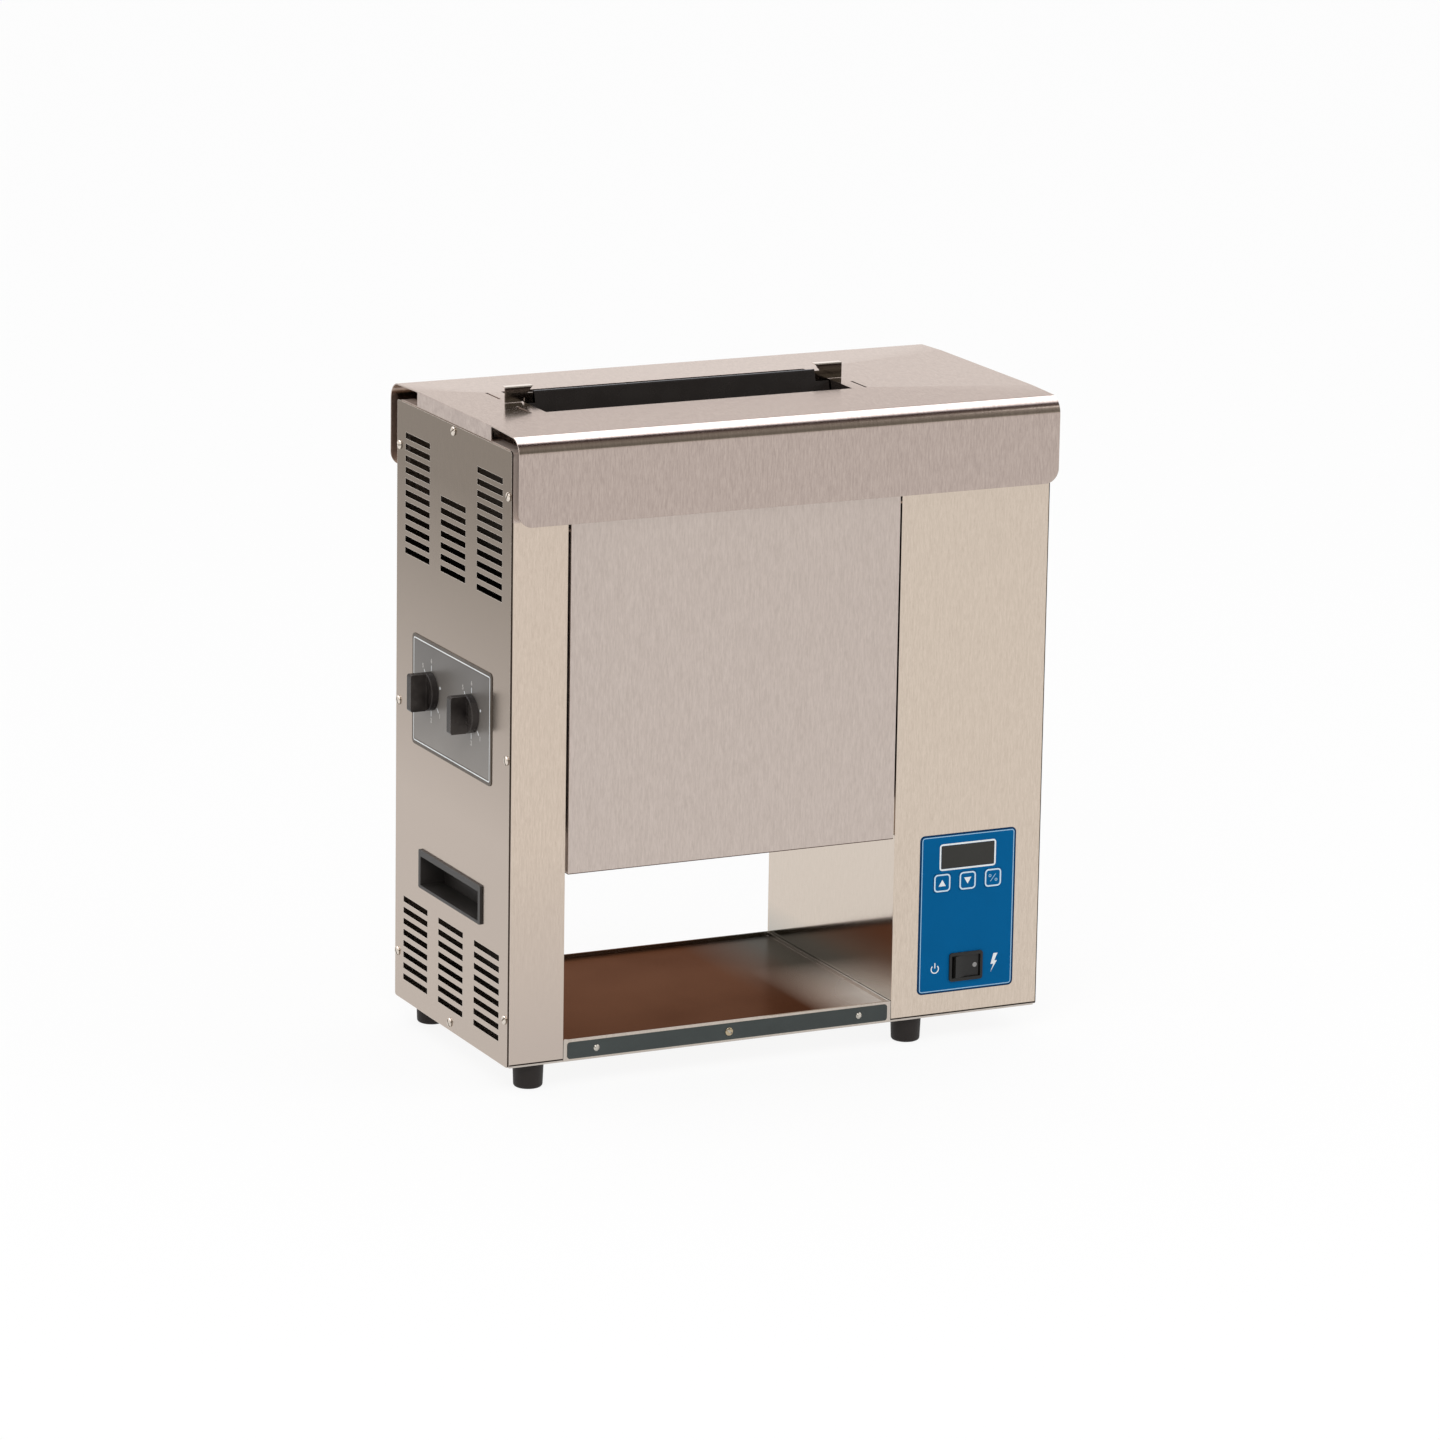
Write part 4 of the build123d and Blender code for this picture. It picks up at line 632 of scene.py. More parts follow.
# Mouldings with softer edges
mouldEdge = {
    "left_grip_pocket": (gripMoulding, 0.35 * mm),
    "right_grip_pocket": (gripMoulding, 0.35 * mm),
    "front_knob": (knobMoulding, 0.6 * mm),
    "rear_knob": (knobMoulding, 0.6 * mm),
    "switch_body": (blackMoulding, 0.35 * mm),
    "switch_rocker": (blackMoulding, 0.5 * mm),
    "up_key": (overlayBlue, 0.12 * mm),
    "down_key": (overlayBlue, 0.12 * mm),
    "scale_key": (overlayBlue, 0.12 * mm),
    "cord_gland": (blackMoulding, 0.4 * mm),
    "rubber_feet": (footRubber, 0.9 * mm),
}
for node, (material, width) in mouldEdge.items():
    refine(node, material, width)
print("mouldings finished")

carriedOver = {
    plainSteel: ["base_pan", "upper_rails", "front_conveyor_frame", "rear_conveyor_frame"],
    darkSteel: [
        "heating_elements", "platen_brackets", "thermocouple_probe", "front_cam_shaft", "rear_cam_shaft",
        "front_drive_roller", "rear_drive_roller", "front_idle_roller", "rear_idle_roller",
        "front_drive_sprocket", "rear_drive_sprocket", "motor_sprocket", "idler_sprocket", "drive_chain",
    ],
    zincPlate: ["end_panel_screws", "strip_studs", "foot_bolts", "drive_brackets"],
    castAluminium: ["platen"],
    oiledBronze: ["shaft_bushes"],
    beltSilicone: ["front_belt", "rear_belt"],
    releaseFilm: ["release_sheet"],
    dialBorder: ["dial_plate"],
    overlayBlue: ["control_overlay"],
    displayGlass: ["display_window"],
    stripGreen: ["lip_strip"],
    boardGreen: ["controller_board"],
    motorPaint: ["gearmotor"],
    ironCore: ["transformer"],
    terminalWhite: ["terminal_block"],
    blackMoulding: ["fan_frame", "fan_rotor", "high_limit_thermostat"],
}
for material, nodes in carriedOver.items():
    for node in nodes:
        dress(node, material)
print("carried-over nodes dressed")


# Prints: flat film shapes a hair thick, lying on the face that carries them

inkRise = 0.06 * mm
inkWeld = 0.05 * inkRise
leastCorner = 0.2 * mm
facing = {
    "front": Matrix(((1, 0, 0), (0, 0, -1), (0, 1, 0))),
    "left": Matrix(((0, 0, -1), (-1, 0, 0), (0, 1, 0))),
}


def roundedLoop(width, height, corner, centre=(0, 0), steps=6):
    loop = []
    for quarter, (sideX, sideY) in enumerate(((1, 1), (-1, 1), (-1, -1), (1, -1))):
        middle = (centre[0] + sideX * (width / 2 - corner), centre[1] + sideY * (height / 2 - corner))
        for step in range(steps + 1):
            angle = math.radians(90 * quarter + 90 * step / steps)
            loop.append((middle[0] + corner * math.cos(angle), middle[1] + corner * math.sin(angle)))
    return loop


def frameLoops(width, height, corner, line, centre=(0, 0)):
    outer = roundedLoop(width, height, corner, centre)
    return [outer, roundedLoop(width - 2 * line, height - 2 * line, max(corner - line, leastCorner), centre)]


def arcLoop(radius, line, start, sweep, centre=(0, 0), steps=28):
    loop = []
    for reach, order in ((radius, range(steps + 1)), (radius - line, range(steps, -1, -1))):
        for step in order:
            angle = math.radians(start + sweep * step / steps)
            loop.append((centre[0] + reach * math.cos(angle), centre[1] + reach * math.sin(angle)))
    return loop


def discLoop(radius, centre=(0, 0), steps=32):
    turns = [2 * math.pi * step / steps for step in range(steps)]
    return [(centre[0] + radius * math.cos(turn), centre[1] + radius * math.sin(turn)) for turn in turns]


def scaledLoop(shares, width, height, centre=(0, 0)):
    return [(centre[0] + share[0] * width, centre[1] + share[1] * height) for share in shares]


def curveData(name, loops):
    data = bpy.data.curves.new(name, "CURVE")
    for loop in loops:
        spline = data.splines.new("POLY")
        spline.points.add(len(loop) - 1)
        for point, (across, up) in zip(spline.points, loop):
            point.co = (across, up, 0, 1)
        spline.use_cyclic_u = True
    return data


def numberData(label, size):
    data = bpy.data.curves.new("dial_number", "FONT")
    data.body = label
    data.size = size
    data.align_x = "CENTER"
    data.align_y = "CENTER"
    return data


def printShape(name, items, side, origin, material, body, slot, rise=inkRise):
    # curves filled and given their thickness, then laid on their face
    bm = bmesh.new()
    for data, offset in items:
        if not isinstance(data, bpy.types.TextCurve):
            data.dimensions = "2D"
        data.fill_mode = "BOTH"
        data.extrude = rise / 2
        source = newObject(name + "_line", data)
        flat = settledMesh(source)
        bpy.data.objects.remove(source)
        flat.transform(Matrix.Translation((*offset, 0)))
        bm.from_mesh(flat)
    bmesh.ops.remove_doubles(bm, verts=bm.verts, dist=inkWeld)
    bmesh.ops.translate(bm, verts=bm.verts, vec=(0, 0, rise / 2))
    bmesh.ops.transform(bm, verts=bm.verts, matrix=Matrix.Translation(origin) @ facing[side].to_4x4())
    bmesh.ops.recalc_face_normals(bm, faces=bm.faces)
    return join(newObject(name, meshFrom(bm, name, material)), body, slot)


# Control overlay: edge band, inset line, display frame, key signs and switch signs

overlayLow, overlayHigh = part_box("control_overlay")
overlayMiddle = (overlayLow + overlayHigh) / 2
overlaySet = {
    "corner": 5.0 * mm, "edgeLine": 1.5 * mm, "inset": 2.0 * mm, "insetLine": 0.8 * mm,
    "windowGap": 0.3 * mm, "windowLine": 1.7 * mm, "windowCorner": 3.2 * mm,
}


def onOverlay(name, loops, material, centre=None):
    middle = centre or (overlayMiddle.x, overlayMiddle.z)
    origin = (middle[0], overlayLow.y, middle[1])
    slot = "overlay_blue" if material == edgeBlue else "terminal_white"
    return printShape(name, [(curveData(name, loops), (0, 0))], "front", origin, material, "cabinet", slot)


overlayWide, overlayTall = overlayHigh.x - overlayLow.x, overlayHigh.z - overlayLow.z
edgeLoops = frameLoops(overlayWide, overlayTall, overlaySet["corner"], overlaySet["edgeLine"])
onOverlay("overlay_edge", edgeLoops, edgeBlue)
onOverlay("overlay_inset_line", frameLoops(
    overlayWide - 2 * overlaySet["inset"], overlayTall - 2 * overlaySet["inset"],
    overlaySet["corner"] - overlaySet["inset"], overlaySet["insetLine"],
), inkPaleBlue)
windowLow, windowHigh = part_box("display_window")
windowGrow = 2 * (overlaySet["windowGap"] + overlaySet["windowLine"])
onOverlay("display_frame", frameLoops(
    windowHigh.x - windowLow.x + windowGrow, windowHigh.z - windowLow.z + windowGrow,
    overlaySet["windowCorner"], overlaySet["windowLine"],
), inkWhite, ((windowLow.x + windowHigh.x) / 2, (windowLow.z + windowHigh.z) / 2))

powerSet = {
    "centre": (0.1839, 0.075), "radius": 4.6 * mm, "line": 1.1 * mm, "open": 84,
    "bar": 5.4 * mm, "barRise": 0.8 * mm,
}
barShares = ((-0.5, 0), (0.5, 0), (0.5, 1), (-0.5, 1))
powerLoops = [
    arcLoop(powerSet["radius"], powerSet["line"], 90 + powerSet["open"] / 2, 360 - powerSet["open"]),
    scaledLoop(barShares, powerSet["line"], powerSet["bar"], (0, powerSet["barRise"])),
]
onOverlay("power_sign", powerLoops, inkWhite, powerSet["centre"])
boltSet = {"centre": (0.2498, 0.075), "wide": 7.6 * mm, "tall": 19.0 * mm}
boltShares = (
    (-0.1, 0.5), (0.5, 0.5), (0.04, 0.1), (0.44, 0.1), (-0.5, -0.5), (-0.08, -0.07), (-0.5, -0.07),
)
boltLoop = scaledLoop(boltShares, boltSet["wide"], boltSet["tall"])
onOverlay("bolt_sign", [boltLoop], inkWhite, boltSet["centre"])

keySet = {
    "cap": 18.7 * mm, "line": 1.5 * mm, "corner": 4.0 * mm, "edge": 0.35 * mm,
    "signWide": 8.0 * mm, "signTall": 6.6 * mm, "slashWide": 6.6 * mm, "slashTall": 7.4 * mm,
    "ring": 1.5 * mm, "ringHole": 0.8 * mm, "ringOut": 3.4 * mm, "ringUp": 2.2 * mm,
}
upShares = ((-0.5, -0.5), (0.5, -0.5), (0, 0.5))
downShares = ((-0.5, 0.5), (0, -0.5), (0.5, 0.5))
slashShares = ((-0.5, -0.5), (-0.38, -0.5), (0.5, 0.5), (0.38, 0.5))
percentLoops = [scaledLoop(slashShares, keySet["slashWide"], keySet["slashTall"])]
for side in (-1, 1):
    ringCentre = (side * keySet["ringOut"], -side * keySet["ringUp"])
    percentLoops += [discLoop(keySet["ring"], ringCentre), discLoop(keySet["ringHole"], ringCentre)]
keySigns = {
    "up_key": ([scaledLoop(upShares, keySet["signWide"], keySet["signTall"])], inkWhite),
    "down_key": ([scaledLoop(downShares, keySet["signWide"], keySet["signTall"])], inkWhite),
    "scale_key": (percentLoops, inkPaleBlue),
}
capWide = keySet["cap"] - 2 * keySet["edge"]
for key, (loops, ink) in keySigns.items():
    capLow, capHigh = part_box(key)
    face = ((capLow.x + capHigh.x) / 2, capLow.y, (capLow.z + capHigh.z) / 2)
    outline = curveData(key + "_outline", frameLoops(capWide, capWide, keySet["corner"], keySet["line"]))
    printShape(key + "_outline", [(outline, (0, 0))], "front", face, inkKey, key, "terminal_white")
    sign = curveData(key + "_sign", loops)
    printShape(key + "_sign", [(sign, (0, 0))], "front", face, ink, key, "terminal_white")
print("overlay printed")


# Dial plate: border line, grey field and the two scales

plateLow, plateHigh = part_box("dial_plate")
plateMiddle = (plateLow + plateHigh) / 2
plateWide, plateTall = plateHigh.y - plateLow.y, plateHigh.z - plateLow.z
plateSet = {
    "inset": 3.4 * mm, "line": 1.3 * mm, "corner": 2.5 * mm, "fieldGap": 1.1 * mm, "shaftHole": 7.0 * mm,
    "knobSpread": 48.75 * mm, "knobHeight": 357.0 * mm, "fieldCorner": 0.8 * mm,
}
scaleSet = {
    "radius": 22.6 * mm, "tick": 5.4 * mm, "tickWide": 1.2 * mm, "marks": 6, "start": -45, "sweep": -225,
    "numberRadius": 29.6 * mm, "numberSize": 6.4 * mm, "dot": 1.5 * mm, "dotTurn": 19,
}


def onPlate(name, items, origin, material, rise=inkRise):
    return printShape(name, items, "left", origin, material, "cabinet", "dial_grey", rise)


plateFace = (plateLow.x, plateMiddle.y, plateMiddle.z)
borderWide, borderTall = plateWide - 2 * plateSet["inset"], plateTall - 2 * plateSet["inset"]
borderLoops = frameLoops(borderWide, borderTall, plateSet["corner"], plateSet["line"])
onPlate("dial_border_line", [(curveData("dial_border_line", borderLoops), (0, 0))], plateFace, inkWhite)
fieldInset = plateSet["inset"] + plateSet["line"] + plateSet["fieldGap"]
knobRise = plateSet["knobHeight"] - plateMiddle.z
fieldLoops = [roundedLoop(plateWide - 2 * fieldInset, plateTall - 2 * fieldInset, plateSet["fieldCorner"])]
fieldLoops += [discLoop(plateSet["shaftHole"], (side * plateSet["knobSpread"], knobRise)) for side in (-1, 1)]
onPlate("dial_field", [(curveData("dial_field", fieldLoops), (0, 0))], plateFace, dialField, 0.5 * inkRise)
numbers = []
for side in (-1, 1):
    for mark in range(scaleSet["marks"]):
        angle = math.radians(scaleSet["start"] + scaleSet["sweep"] * mark / (scaleSet["marks"] - 1))
        across = side * plateSet["knobSpread"] + scaleSet["numberRadius"] * math.cos(angle)
        place = (across, knobRise + scaleSet["numberRadius"] * math.sin(angle))
        numbers.append((numberData(str(mark + 1), scaleSet["numberSize"]), place))
onPlate("dial_numbers", numbers, plateFace, inkGrey)
dotTurn = math.radians(scaleSet["dotTurn"])
dotLoops = [
    discLoop(scaleSet["dot"], (
        side * plateSet["knobSpread"] + scaleSet["radius"] * math.cos(dotTurn),
        knobRise + scaleSet["radius"] * math.sin(dotTurn),
    )) for side in (-1, 1)
]
onPlate("dial_dots", [(curveData("dial_dots", dotLoops), (0, 0))], plateFace, inkWhite)


# Node trees that repeat small parts

def newTree(name, inputs):
    tree = bpy.data.node_groups.new(name, "GeometryNodeTree")
    tree.interface.new_socket("Geometry", in_out="INPUT", socket_type="NodeSocketGeometry")
    for label, kind, value in inputs:
        socket = tree.interface.new_socket(label, in_out="INPUT", socket_type=kind)
        if value is not None:
            socket.default_value = value
    tree.interface.new_socket("Material", in_out="INPUT", socket_type="NodeSocketMaterial")
    tree.interface.new_socket("Geometry", in_out="OUTPUT", socket_type="NodeSocketGeometry")
    return tree, put(tree, "NodeGroupInput").outputs


def endTree(tree, start, geometry):
    real = put(tree, "GeometryNodeRealizeInstances", {0: geometry}).outputs[0]
    finished = put(tree, "GeometryNodeSetMaterial", {"Geometry": real, "Material": start["Material"]})
    put(tree, "NodeGroupOutput", {0: finished.outputs[0]})


def grow(name, tree, material, points=((0, 0, 0),), **values):
    mesh = bpy.data.meshes.new(name)
    mesh.from_pydata([tuple(point) for point in points], [], [])
    piece = newObject(name, mesh)
    modifier = piece.modifiers.new("tree", "NODES")
    modifier.node_group = tree
    values["Material"] = material
    for item in tree.interface.items_tree:
        key = item.name.replace(" ", "_")
        if item.in_out == "INPUT" and key in values:
            modifier[item.identifier] = values[key]
    return settle(piece)


def makeScaleTree():
    # bars set round a centre, each pointing at it
    tree, start = newTree("dialTicks", [
        ("Radius", "NodeSocketFloat", 20 * mm), ("Marks", "NodeSocketInt", 8),
        ("Start", "NodeSocketFloat", 0.0), ("Sweep", "NodeSocketFloat", 3.0),
        ("Bar", "NodeSocketVector", (4 * mm, 1 * mm, 0.1 * mm)), ("Turn", "NodeSocketRotation", (0, 0, 0)),
    ])
    index = put(tree, "GeometryNodeInputIndex").outputs[0]
    step = calc(tree, "DIVIDE", start["Sweep"], calc(tree, "SUBTRACT", start["Marks"], 1.0))
    angle = calc(tree, "ADD", start["Start"], calc(tree, "MULTIPLY", index, step))
    across = calc(tree, "MULTIPLY", start["Radius"], calc(tree, "COSINE", angle))
    upward = calc(tree, "MULTIPLY", start["Radius"], calc(tree, "SINE", angle))
    place = put(tree, "ShaderNodeCombineXYZ", {0: across, 1: upward}).outputs[0]
    ring = put(tree, "GeometryNodePoints", {"Count": start["Marks"], "Position": place}).outputs[0]
    bar = put(tree, "GeometryNodeMeshCube", {"Size": start["Bar"]}).outputs[0]
    spin = put(tree, "ShaderNodeCombineXYZ", {2: angle}).outputs[0]
    barFeeds = {"Points": ring, "Instance": bar, "Rotation": spin}
    bars = put(tree, "GeometryNodeInstanceOnPoints", barFeeds).outputs[0]
    scale = put(tree, "GeometryNodeRealizeInstances", {0: bars}).outputs[0]
    placed = put(tree, "GeometryNodeInstanceOnPoints", {
        "Points": start["Geometry"], "Instance": scale, "Rotation": start["Turn"],
    }).outputs[0]
    endTree(tree, start, placed)
    return tree


def makeHeadTree():
    # one head on each point, turned as its driver left it
    tree, start = newTree("slottedHeads", [
        ("Head", "NodeSocketObject", None), ("Turn", "NodeSocketRotation", (0, 0, 0)),
        ("Loosest", "NodeSocketFloat", math.pi), ("Seed", "NodeSocketInt", 0),
    ])
    head = put(tree, "GeometryNodeObjectInfo", {"Object": start["Head"]}).outputs["Geometry"]
    spinFeeds = {"Max": start["Loosest"], "Seed": start["Seed"]}
    spin = put(tree, "FunctionNodeRandomValue", spinFeeds, data_type="FLOAT")
    heads = put(tree, "GeometryNodeInstanceOnPoints", {
        "Points": start["Geometry"], "Instance": head, "Rotation": start["Turn"],
    }).outputs[0]
    about = put(tree, "ShaderNodeCombineXYZ", {2: spin.outputs[1]}).outputs[0]
    turned = put(tree, "GeometryNodeRotateInstances", {"Instances": heads, "Rotation": about}).outputs[0]
    endTree(tree, start, turned)
    return tree


leftTurn = facing["left"].to_euler()
scaleTree = makeScaleTree()
tickFace = plateLow.x - inkRise
scalePlaces = [(tickFace, side * plateSet["knobSpread"], plateSet["knobHeight"]) for side in (-1, 1)]
join(grow(
    "dial_ticks", scaleTree, inkWhite, scalePlaces, Radius=scaleSet["radius"], Marks=scaleSet["marks"],
    Start=math.radians(scaleSet["start"]), Sweep=math.radians(scaleSet["sweep"]),
    Bar=(scaleSet["tick"], scaleSet["tickWide"], inkRise), Turn=leftTurn,
), "cabinet", "dial_grey")
print("dial plate printed")


# Slotted pan heads: eight on each end panel, and a brass one in the middle of the tray's strip

screwSet = {
    "radius": 4.5 * mm, "edge": 0.9 * mm, "rise": 2.2 * mm, "slot": 1.6 * mm, "slotDeep": 1.5 * mm, "seed": 4,
}
stripSet = {
    "radius": 4.2 * mm, "edge": 0.5 * mm, "rise": 1.7 * mm, "slot": 1.2 * mm, "slotDeep": 1.2 * mm,
    "turn": -40,
}
headSet = {"rings": 5, "sides": 28, "sharp": 40}


def makeHead(sizes):
    # a domed profile spun round, with its slot cut out
    profile = [(0, 0), (sizes["radius"], 0), (sizes["radius"], sizes["edge"])]
    for step in range(1, headSet["rings"] + 1):
        lean = math.radians(90 * step / headSet["rings"])
        across = sizes["radius"] * math.cos(lean)
        profile.append((across, sizes["edge"] + (sizes["rise"] - sizes["edge"]) * math.sin(lean)))
    bm = bmesh.new()
    ring = [bm.verts.new((across, 0, up)) for across, up in profile]
    for first, second in zip(ring, ring[1:]):
        bm.edges.new((first, second))
    line = bm.verts[:] + bm.edges[:]
    about = {"axis": (0, 0, 1), "cent": (0, 0, 0), "angle": 2 * math.pi, "steps": headSet["sides"]}
    bmesh.ops.spin(bm, geom=line, **about)
    bmesh.ops.remove_doubles(bm, verts=bm.verts, dist=10 * weldGap)
    bmesh.ops.recalc_face_normals(bm, faces=bm.faces)
    head = newObject("pan_head", meshFrom(bm, "pan_head"))
    bm = bmesh.new()
    bmesh.ops.create_cube(bm, size=1)
    size = (3 * sizes["radius"], sizes["slot"], 2 * sizes["slotDeep"])
    bmesh.ops.scale(bm, vec=size, verts=bm.verts)
    bmesh.ops.translate(bm, vec=(0, 0, sizes["rise"]), verts=bm.verts)
    cutter = newObject("slot_cutter", meshFrom(bm, "slot_cutter"))
    cut = head.modifiers.new("slot", "BOOLEAN")
    cut.object = cutter
    settle(head)
    bpy.data.objects.remove(cutter)
    head.data.shade_smooth()
    head.data.set_sharp_from_angle(angle=math.radians(headSet["sharp"]))
    return head


def headPlaces(node, atLow):
    # a solid of the node, seen along X, has its middle where its head sits
    bm = welded(node)
    places, left = [], set(bm.verts)
    while left:
        group, reach = set(), [left.pop()]
        while reach:
            vert = reach.pop()
            group.add(vert)
            for edge in vert.link_edges:
                other = edge.other_vert(vert)
                if other in left:
                    left.remove(other)
                    reach.append(other)
        low = [min(vert.co[axis] for vert in group) for axis in range(3)]
        high = [max(vert.co[axis] for vert in group) for axis in range(3)]
        if (low[0] < 0) == atLow:
            outer = low[0] if atLow else high[0]
            places.append((outer, (low[1] + high[1]) / 2, (low[2] + high[2]) / 2))
    bm.free()
    return sorted(places)  # the set above has no fixed order, and the random turns need one


head = makeHead(screwSet)
headTree = makeHeadTree()
for side, atLow in (("left", True), ("right", False)):
    outward = -1 if atLow else 1
    seats = [(x - outward * screwSet["rise"], y, z) for x, y, z in headPlaces("end_panel_screws", atLow)]
    turn = Matrix.Rotation(math.radians(90 * outward), 3, "Y").to_euler()
    screws = grow(
        side + "_end_screws", headTree, screwZinc, seats,
        Head=head, Turn=turn, Loosest=math.pi, Seed=screwSet["seed"],
    )
    nodes = ("end_panel_screws",) if atLow else ()
    join(screws, "cabinet", frame["nodes"]["end_panel_screws"]["finishSlot"], *nodes)
bpy.data.objects.remove(head)
head = makeHead(stripSet)
stripLow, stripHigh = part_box("lip_strip")
stripSeat = ((stripLow.x + stripHigh.x) / 2, stripLow.y, (stripLow.z + stripHigh.z) / 2)
slotTurn = Matrix.Rotation(math.radians(stripSet["turn"]), 3, "Z")
stripTurn = (Matrix.Rotation(math.radians(90), 3, "X") @ slotTurn).to_euler()
middleScrew = grow(
    "strip_middle_screw", headTree, screwBrass, [stripSeat], Head=head, Turn=stripTurn, Loosest=0.0, Seed=1,
)
join(middleScrew, bodyOf["lip_strip"], "zinc")
bpy.data.objects.remove(head)
print("screws set")


# Pale dot on the rocker, laid on the face that it is printed on

rockerLow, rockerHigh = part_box("switch_rocker")
dotSet = {"radius": 2.4 * mm, "fromRight": 4.0 * mm, "sides": 28, "lookFrom": 20 * mm}


def makeRockerDot():
    rocker = bpy.data.objects["switch_rocker_finished"]
    tree = BVHTree.FromObject(rocker, bpy.context.evaluated_depsgraph_get())
    across, ahead = rockerHigh.x - dotSet["fromRight"], rockerLow.y - dotSet["lookFrom"]
    start = Vector((across, ahead, (rockerLow.z + rockerHigh.z) / 2))
    place, normal = tree.ray_cast(start, Vector((0, 1, 0)))[:2]
    bm = bmesh.new()
    bmesh.ops.create_cone(
        bm, cap_ends=True, segments=dotSet["sides"],
        radius1=dotSet["radius"], radius2=dotSet["radius"], depth=2 * inkRise,
    )
    turn = normal.to_track_quat("Z", "Y").to_matrix().to_4x4()
    bmesh.ops.transform(bm, verts=bm.verts, matrix=Matrix.Translation(place) @ turn)
    join(newObject("rocker_dot", meshFrom(bm, "rocker_dot", inkDot)), "switch_rocker", "dial_grey")


makeRockerDot()


# Stage, light and camera

skySet = {
    "even": (0.9, 0.9, 0.9, 1.0), "turnFrom": -0.3, "turnTo": 0.2,
    "ahead": [
        (-1.0, (1, 1, 1)), (0.06, (0.95, 0.93, 0.9)), (0.12, (0.22, 0.21, 0.17)), (0.30, (0.24, 0.23, 0.20)),
        (0.52, (0.36, 0.34, 0.30)), (0.66, (0.28, 0.25, 0.22)), (0.78, (0.06, 0.03, 0.03)),
        (0.86, (0.06, 0.03, 0.03)), (0.91, (3.4, 3.5, 3.7)), (1.0, (3.4, 3.5, 3.7)),
    ],
    "behind": [
        (-1.0, (1, 1, 1)), (0.0, (1.08, 1.02, 0.98)), (0.12, (1.08, 1.02, 0.98)), (0.22, (0.95, 0.88, 0.84)),
        (0.34, (0.84, 0.79, 0.76)), (0.45, (0.82, 0.77, 0.74)), (0.51, (0.66, 0.63, 0.60)),
        (0.58, (3.4, 3.5, 3.7)),
    ],
}
floorSet = {"radius": 14.0, "sides": 96, "tone": (0.86, 0.86, 0.86, 1.0), "roughness": 0.9, "glow": 0.88}
lampSet = {
    "key_lamp": {"place": (-1.6, -2.2, 2.6), "aim": (0, 0, 0.35), "width": 1.8, "depth": 1.4, "power": 30.0},
    "fill_lamp": {"place": (2.4, -1.6, 1.8), "aim": (0, 0, 0.3), "width": 1.6, "depth": 1.6, "power": 14.0},
}


def makeWorld():
    # even light on what is dull, while polished steel mirrors a studio's walls and its bright ceiling
    world = bpy.data.worlds.new("studio")
    scene.world = world
    world.use_nodes = True
    tree = world.node_tree
    tree.nodes.clear()
    heading = put(tree, "ShaderNodeTexCoord").outputs["Generated"]
    _, depth, rise = put(tree, "ShaderNodeSeparateXYZ", {0: heading}).outputs
    height = spread(tree, rise, 0.0, 1.0, -1.0, 1.0)
    walls = [
        ramp(tree, height, [((stop + 1) / 2, (*level, 1.0)) for stop, level in skySet[wall]])
        for wall in ("ahead", "behind")
    ]
    mirrored = mixTone(tree, spread(tree, depth, 0.0, 1.0, skySet["turnFrom"], skySet["turnTo"]), *walls)
    rays = put(tree, "ShaderNodeLightPath").outputs
    seen = calc(tree, "MAXIMUM", rays["Is Glossy Ray"], rays["Is Transmission Ray"])
    level = mixTone(tree, seen, skySet["even"], mirrored)
    final = mixTone(tree, rays["Is Camera Ray"], level, (1, 1, 1, 1))
    sky = put(tree, "ShaderNodeBackground", {"Color": final, "Strength": 1.0})
    put(tree, "ShaderNodeOutputWorld", {"Surface": sky.outputs[0]})


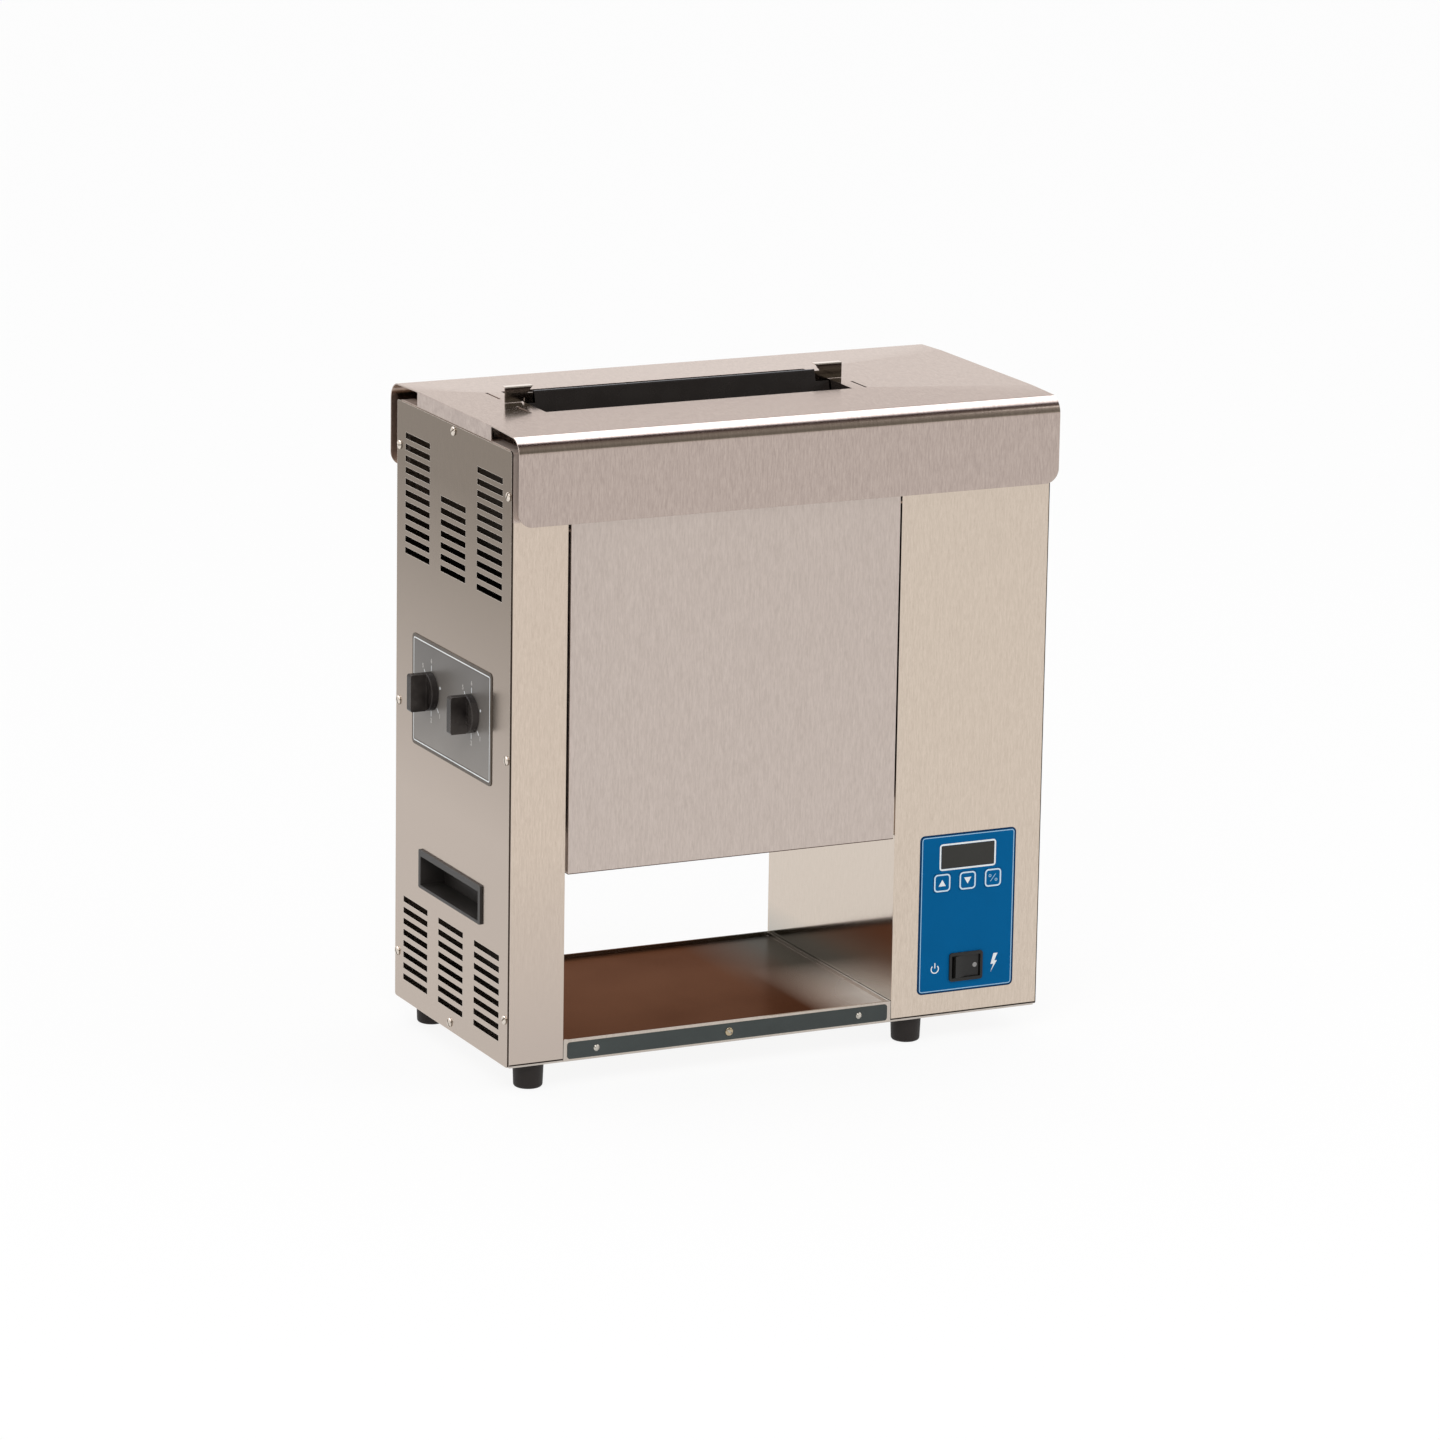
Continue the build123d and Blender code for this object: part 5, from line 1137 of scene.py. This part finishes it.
def makeFloor():
    # a pale disc that shows white, and keeps the object's shadow
    material, tree, shader = newMaterial("pale_floor")
    setGloss(shader, Base_Color=floorSet["tone"], Roughness=floorSet["roughness"])
    rays = put(tree, "ShaderNodeLightPath").outputs
    mirrored = calc(tree, "MAXIMUM", rays["Is Glossy Ray"], rays["Is Transmission Ray"])
    seen = calc(tree, "MAXIMUM", rays["Is Camera Ray"], mirrored)
    glow = put(tree, "ShaderNodeEmission", {"Color": (1, 1, 1, 1), "Strength": 1.0})
    share = calc(tree, "MULTIPLY", seen, floorSet["glow"])
    mixed = put(tree, "ShaderNodeMixShader", {0: share, 1: shader.outputs[0], 2: glow.outputs[0]})
    tree.links.new(mixed.outputs[0], tree.nodes["Material Output"].inputs["Surface"])
    bm = bmesh.new()
    bmesh.ops.create_circle(bm, cap_ends=True, segments=floorSet["sides"], radius=floorSet["radius"])
    newObject("floor", meshFrom(bm, "floor", material))


def makeLamp(name, place, aim, width, depth, power):
    lamp = bpy.data.lights.new(name, "AREA")
    lamp.shape = "RECTANGLE"
    lamp.size = width
    lamp.size_y = depth
    lamp.energy = power
    piece = newObject(name, lamp)
    piece.location = place
    piece.rotation_euler = (Vector(aim) - Vector(place)).to_track_quat("-Z", "Y").to_euler()


cameraSet = {
    "place": (-2.7799, -5.7696, 1.9042), "azimuth": -0.45061, "elevation": 0.24344, "lean": 0.01626,
    "lens": 167.55, "sensor": 36,
}


def makeCamera():
    # the photograph's view: heading, height of the eye and a slight lean
    azimuth, elevation, lean = cameraSet["azimuth"], cameraSet["elevation"], cameraSet["lean"]
    level = math.cos(elevation)
    back = Vector((math.sin(azimuth) * level, -math.cos(azimuth) * level, math.sin(elevation)))
    right = Vector((math.cos(azimuth), math.sin(azimuth), 0))
    up = back.cross(right)
    across = math.cos(lean) * right + math.sin(lean) * up
    upward = -math.sin(lean) * right + math.cos(lean) * up
    camera = bpy.data.cameras.new("camera")
    camera.lens = cameraSet["lens"]
    camera.sensor_width = cameraSet["sensor"]
    piece = newObject("camera", camera)
    turn = Matrix((across, upward, back)).transposed().to_4x4()
    piece.matrix_world = Matrix.Translation(cameraSet["place"]) @ turn
    scene.camera = piece


makeWorld()
makeFloor()
for name, settings in lampSet.items():
    makeLamp(name, **settings)
makeCamera()
scene.view_settings.view_transform = "Standard"
print("stage set")
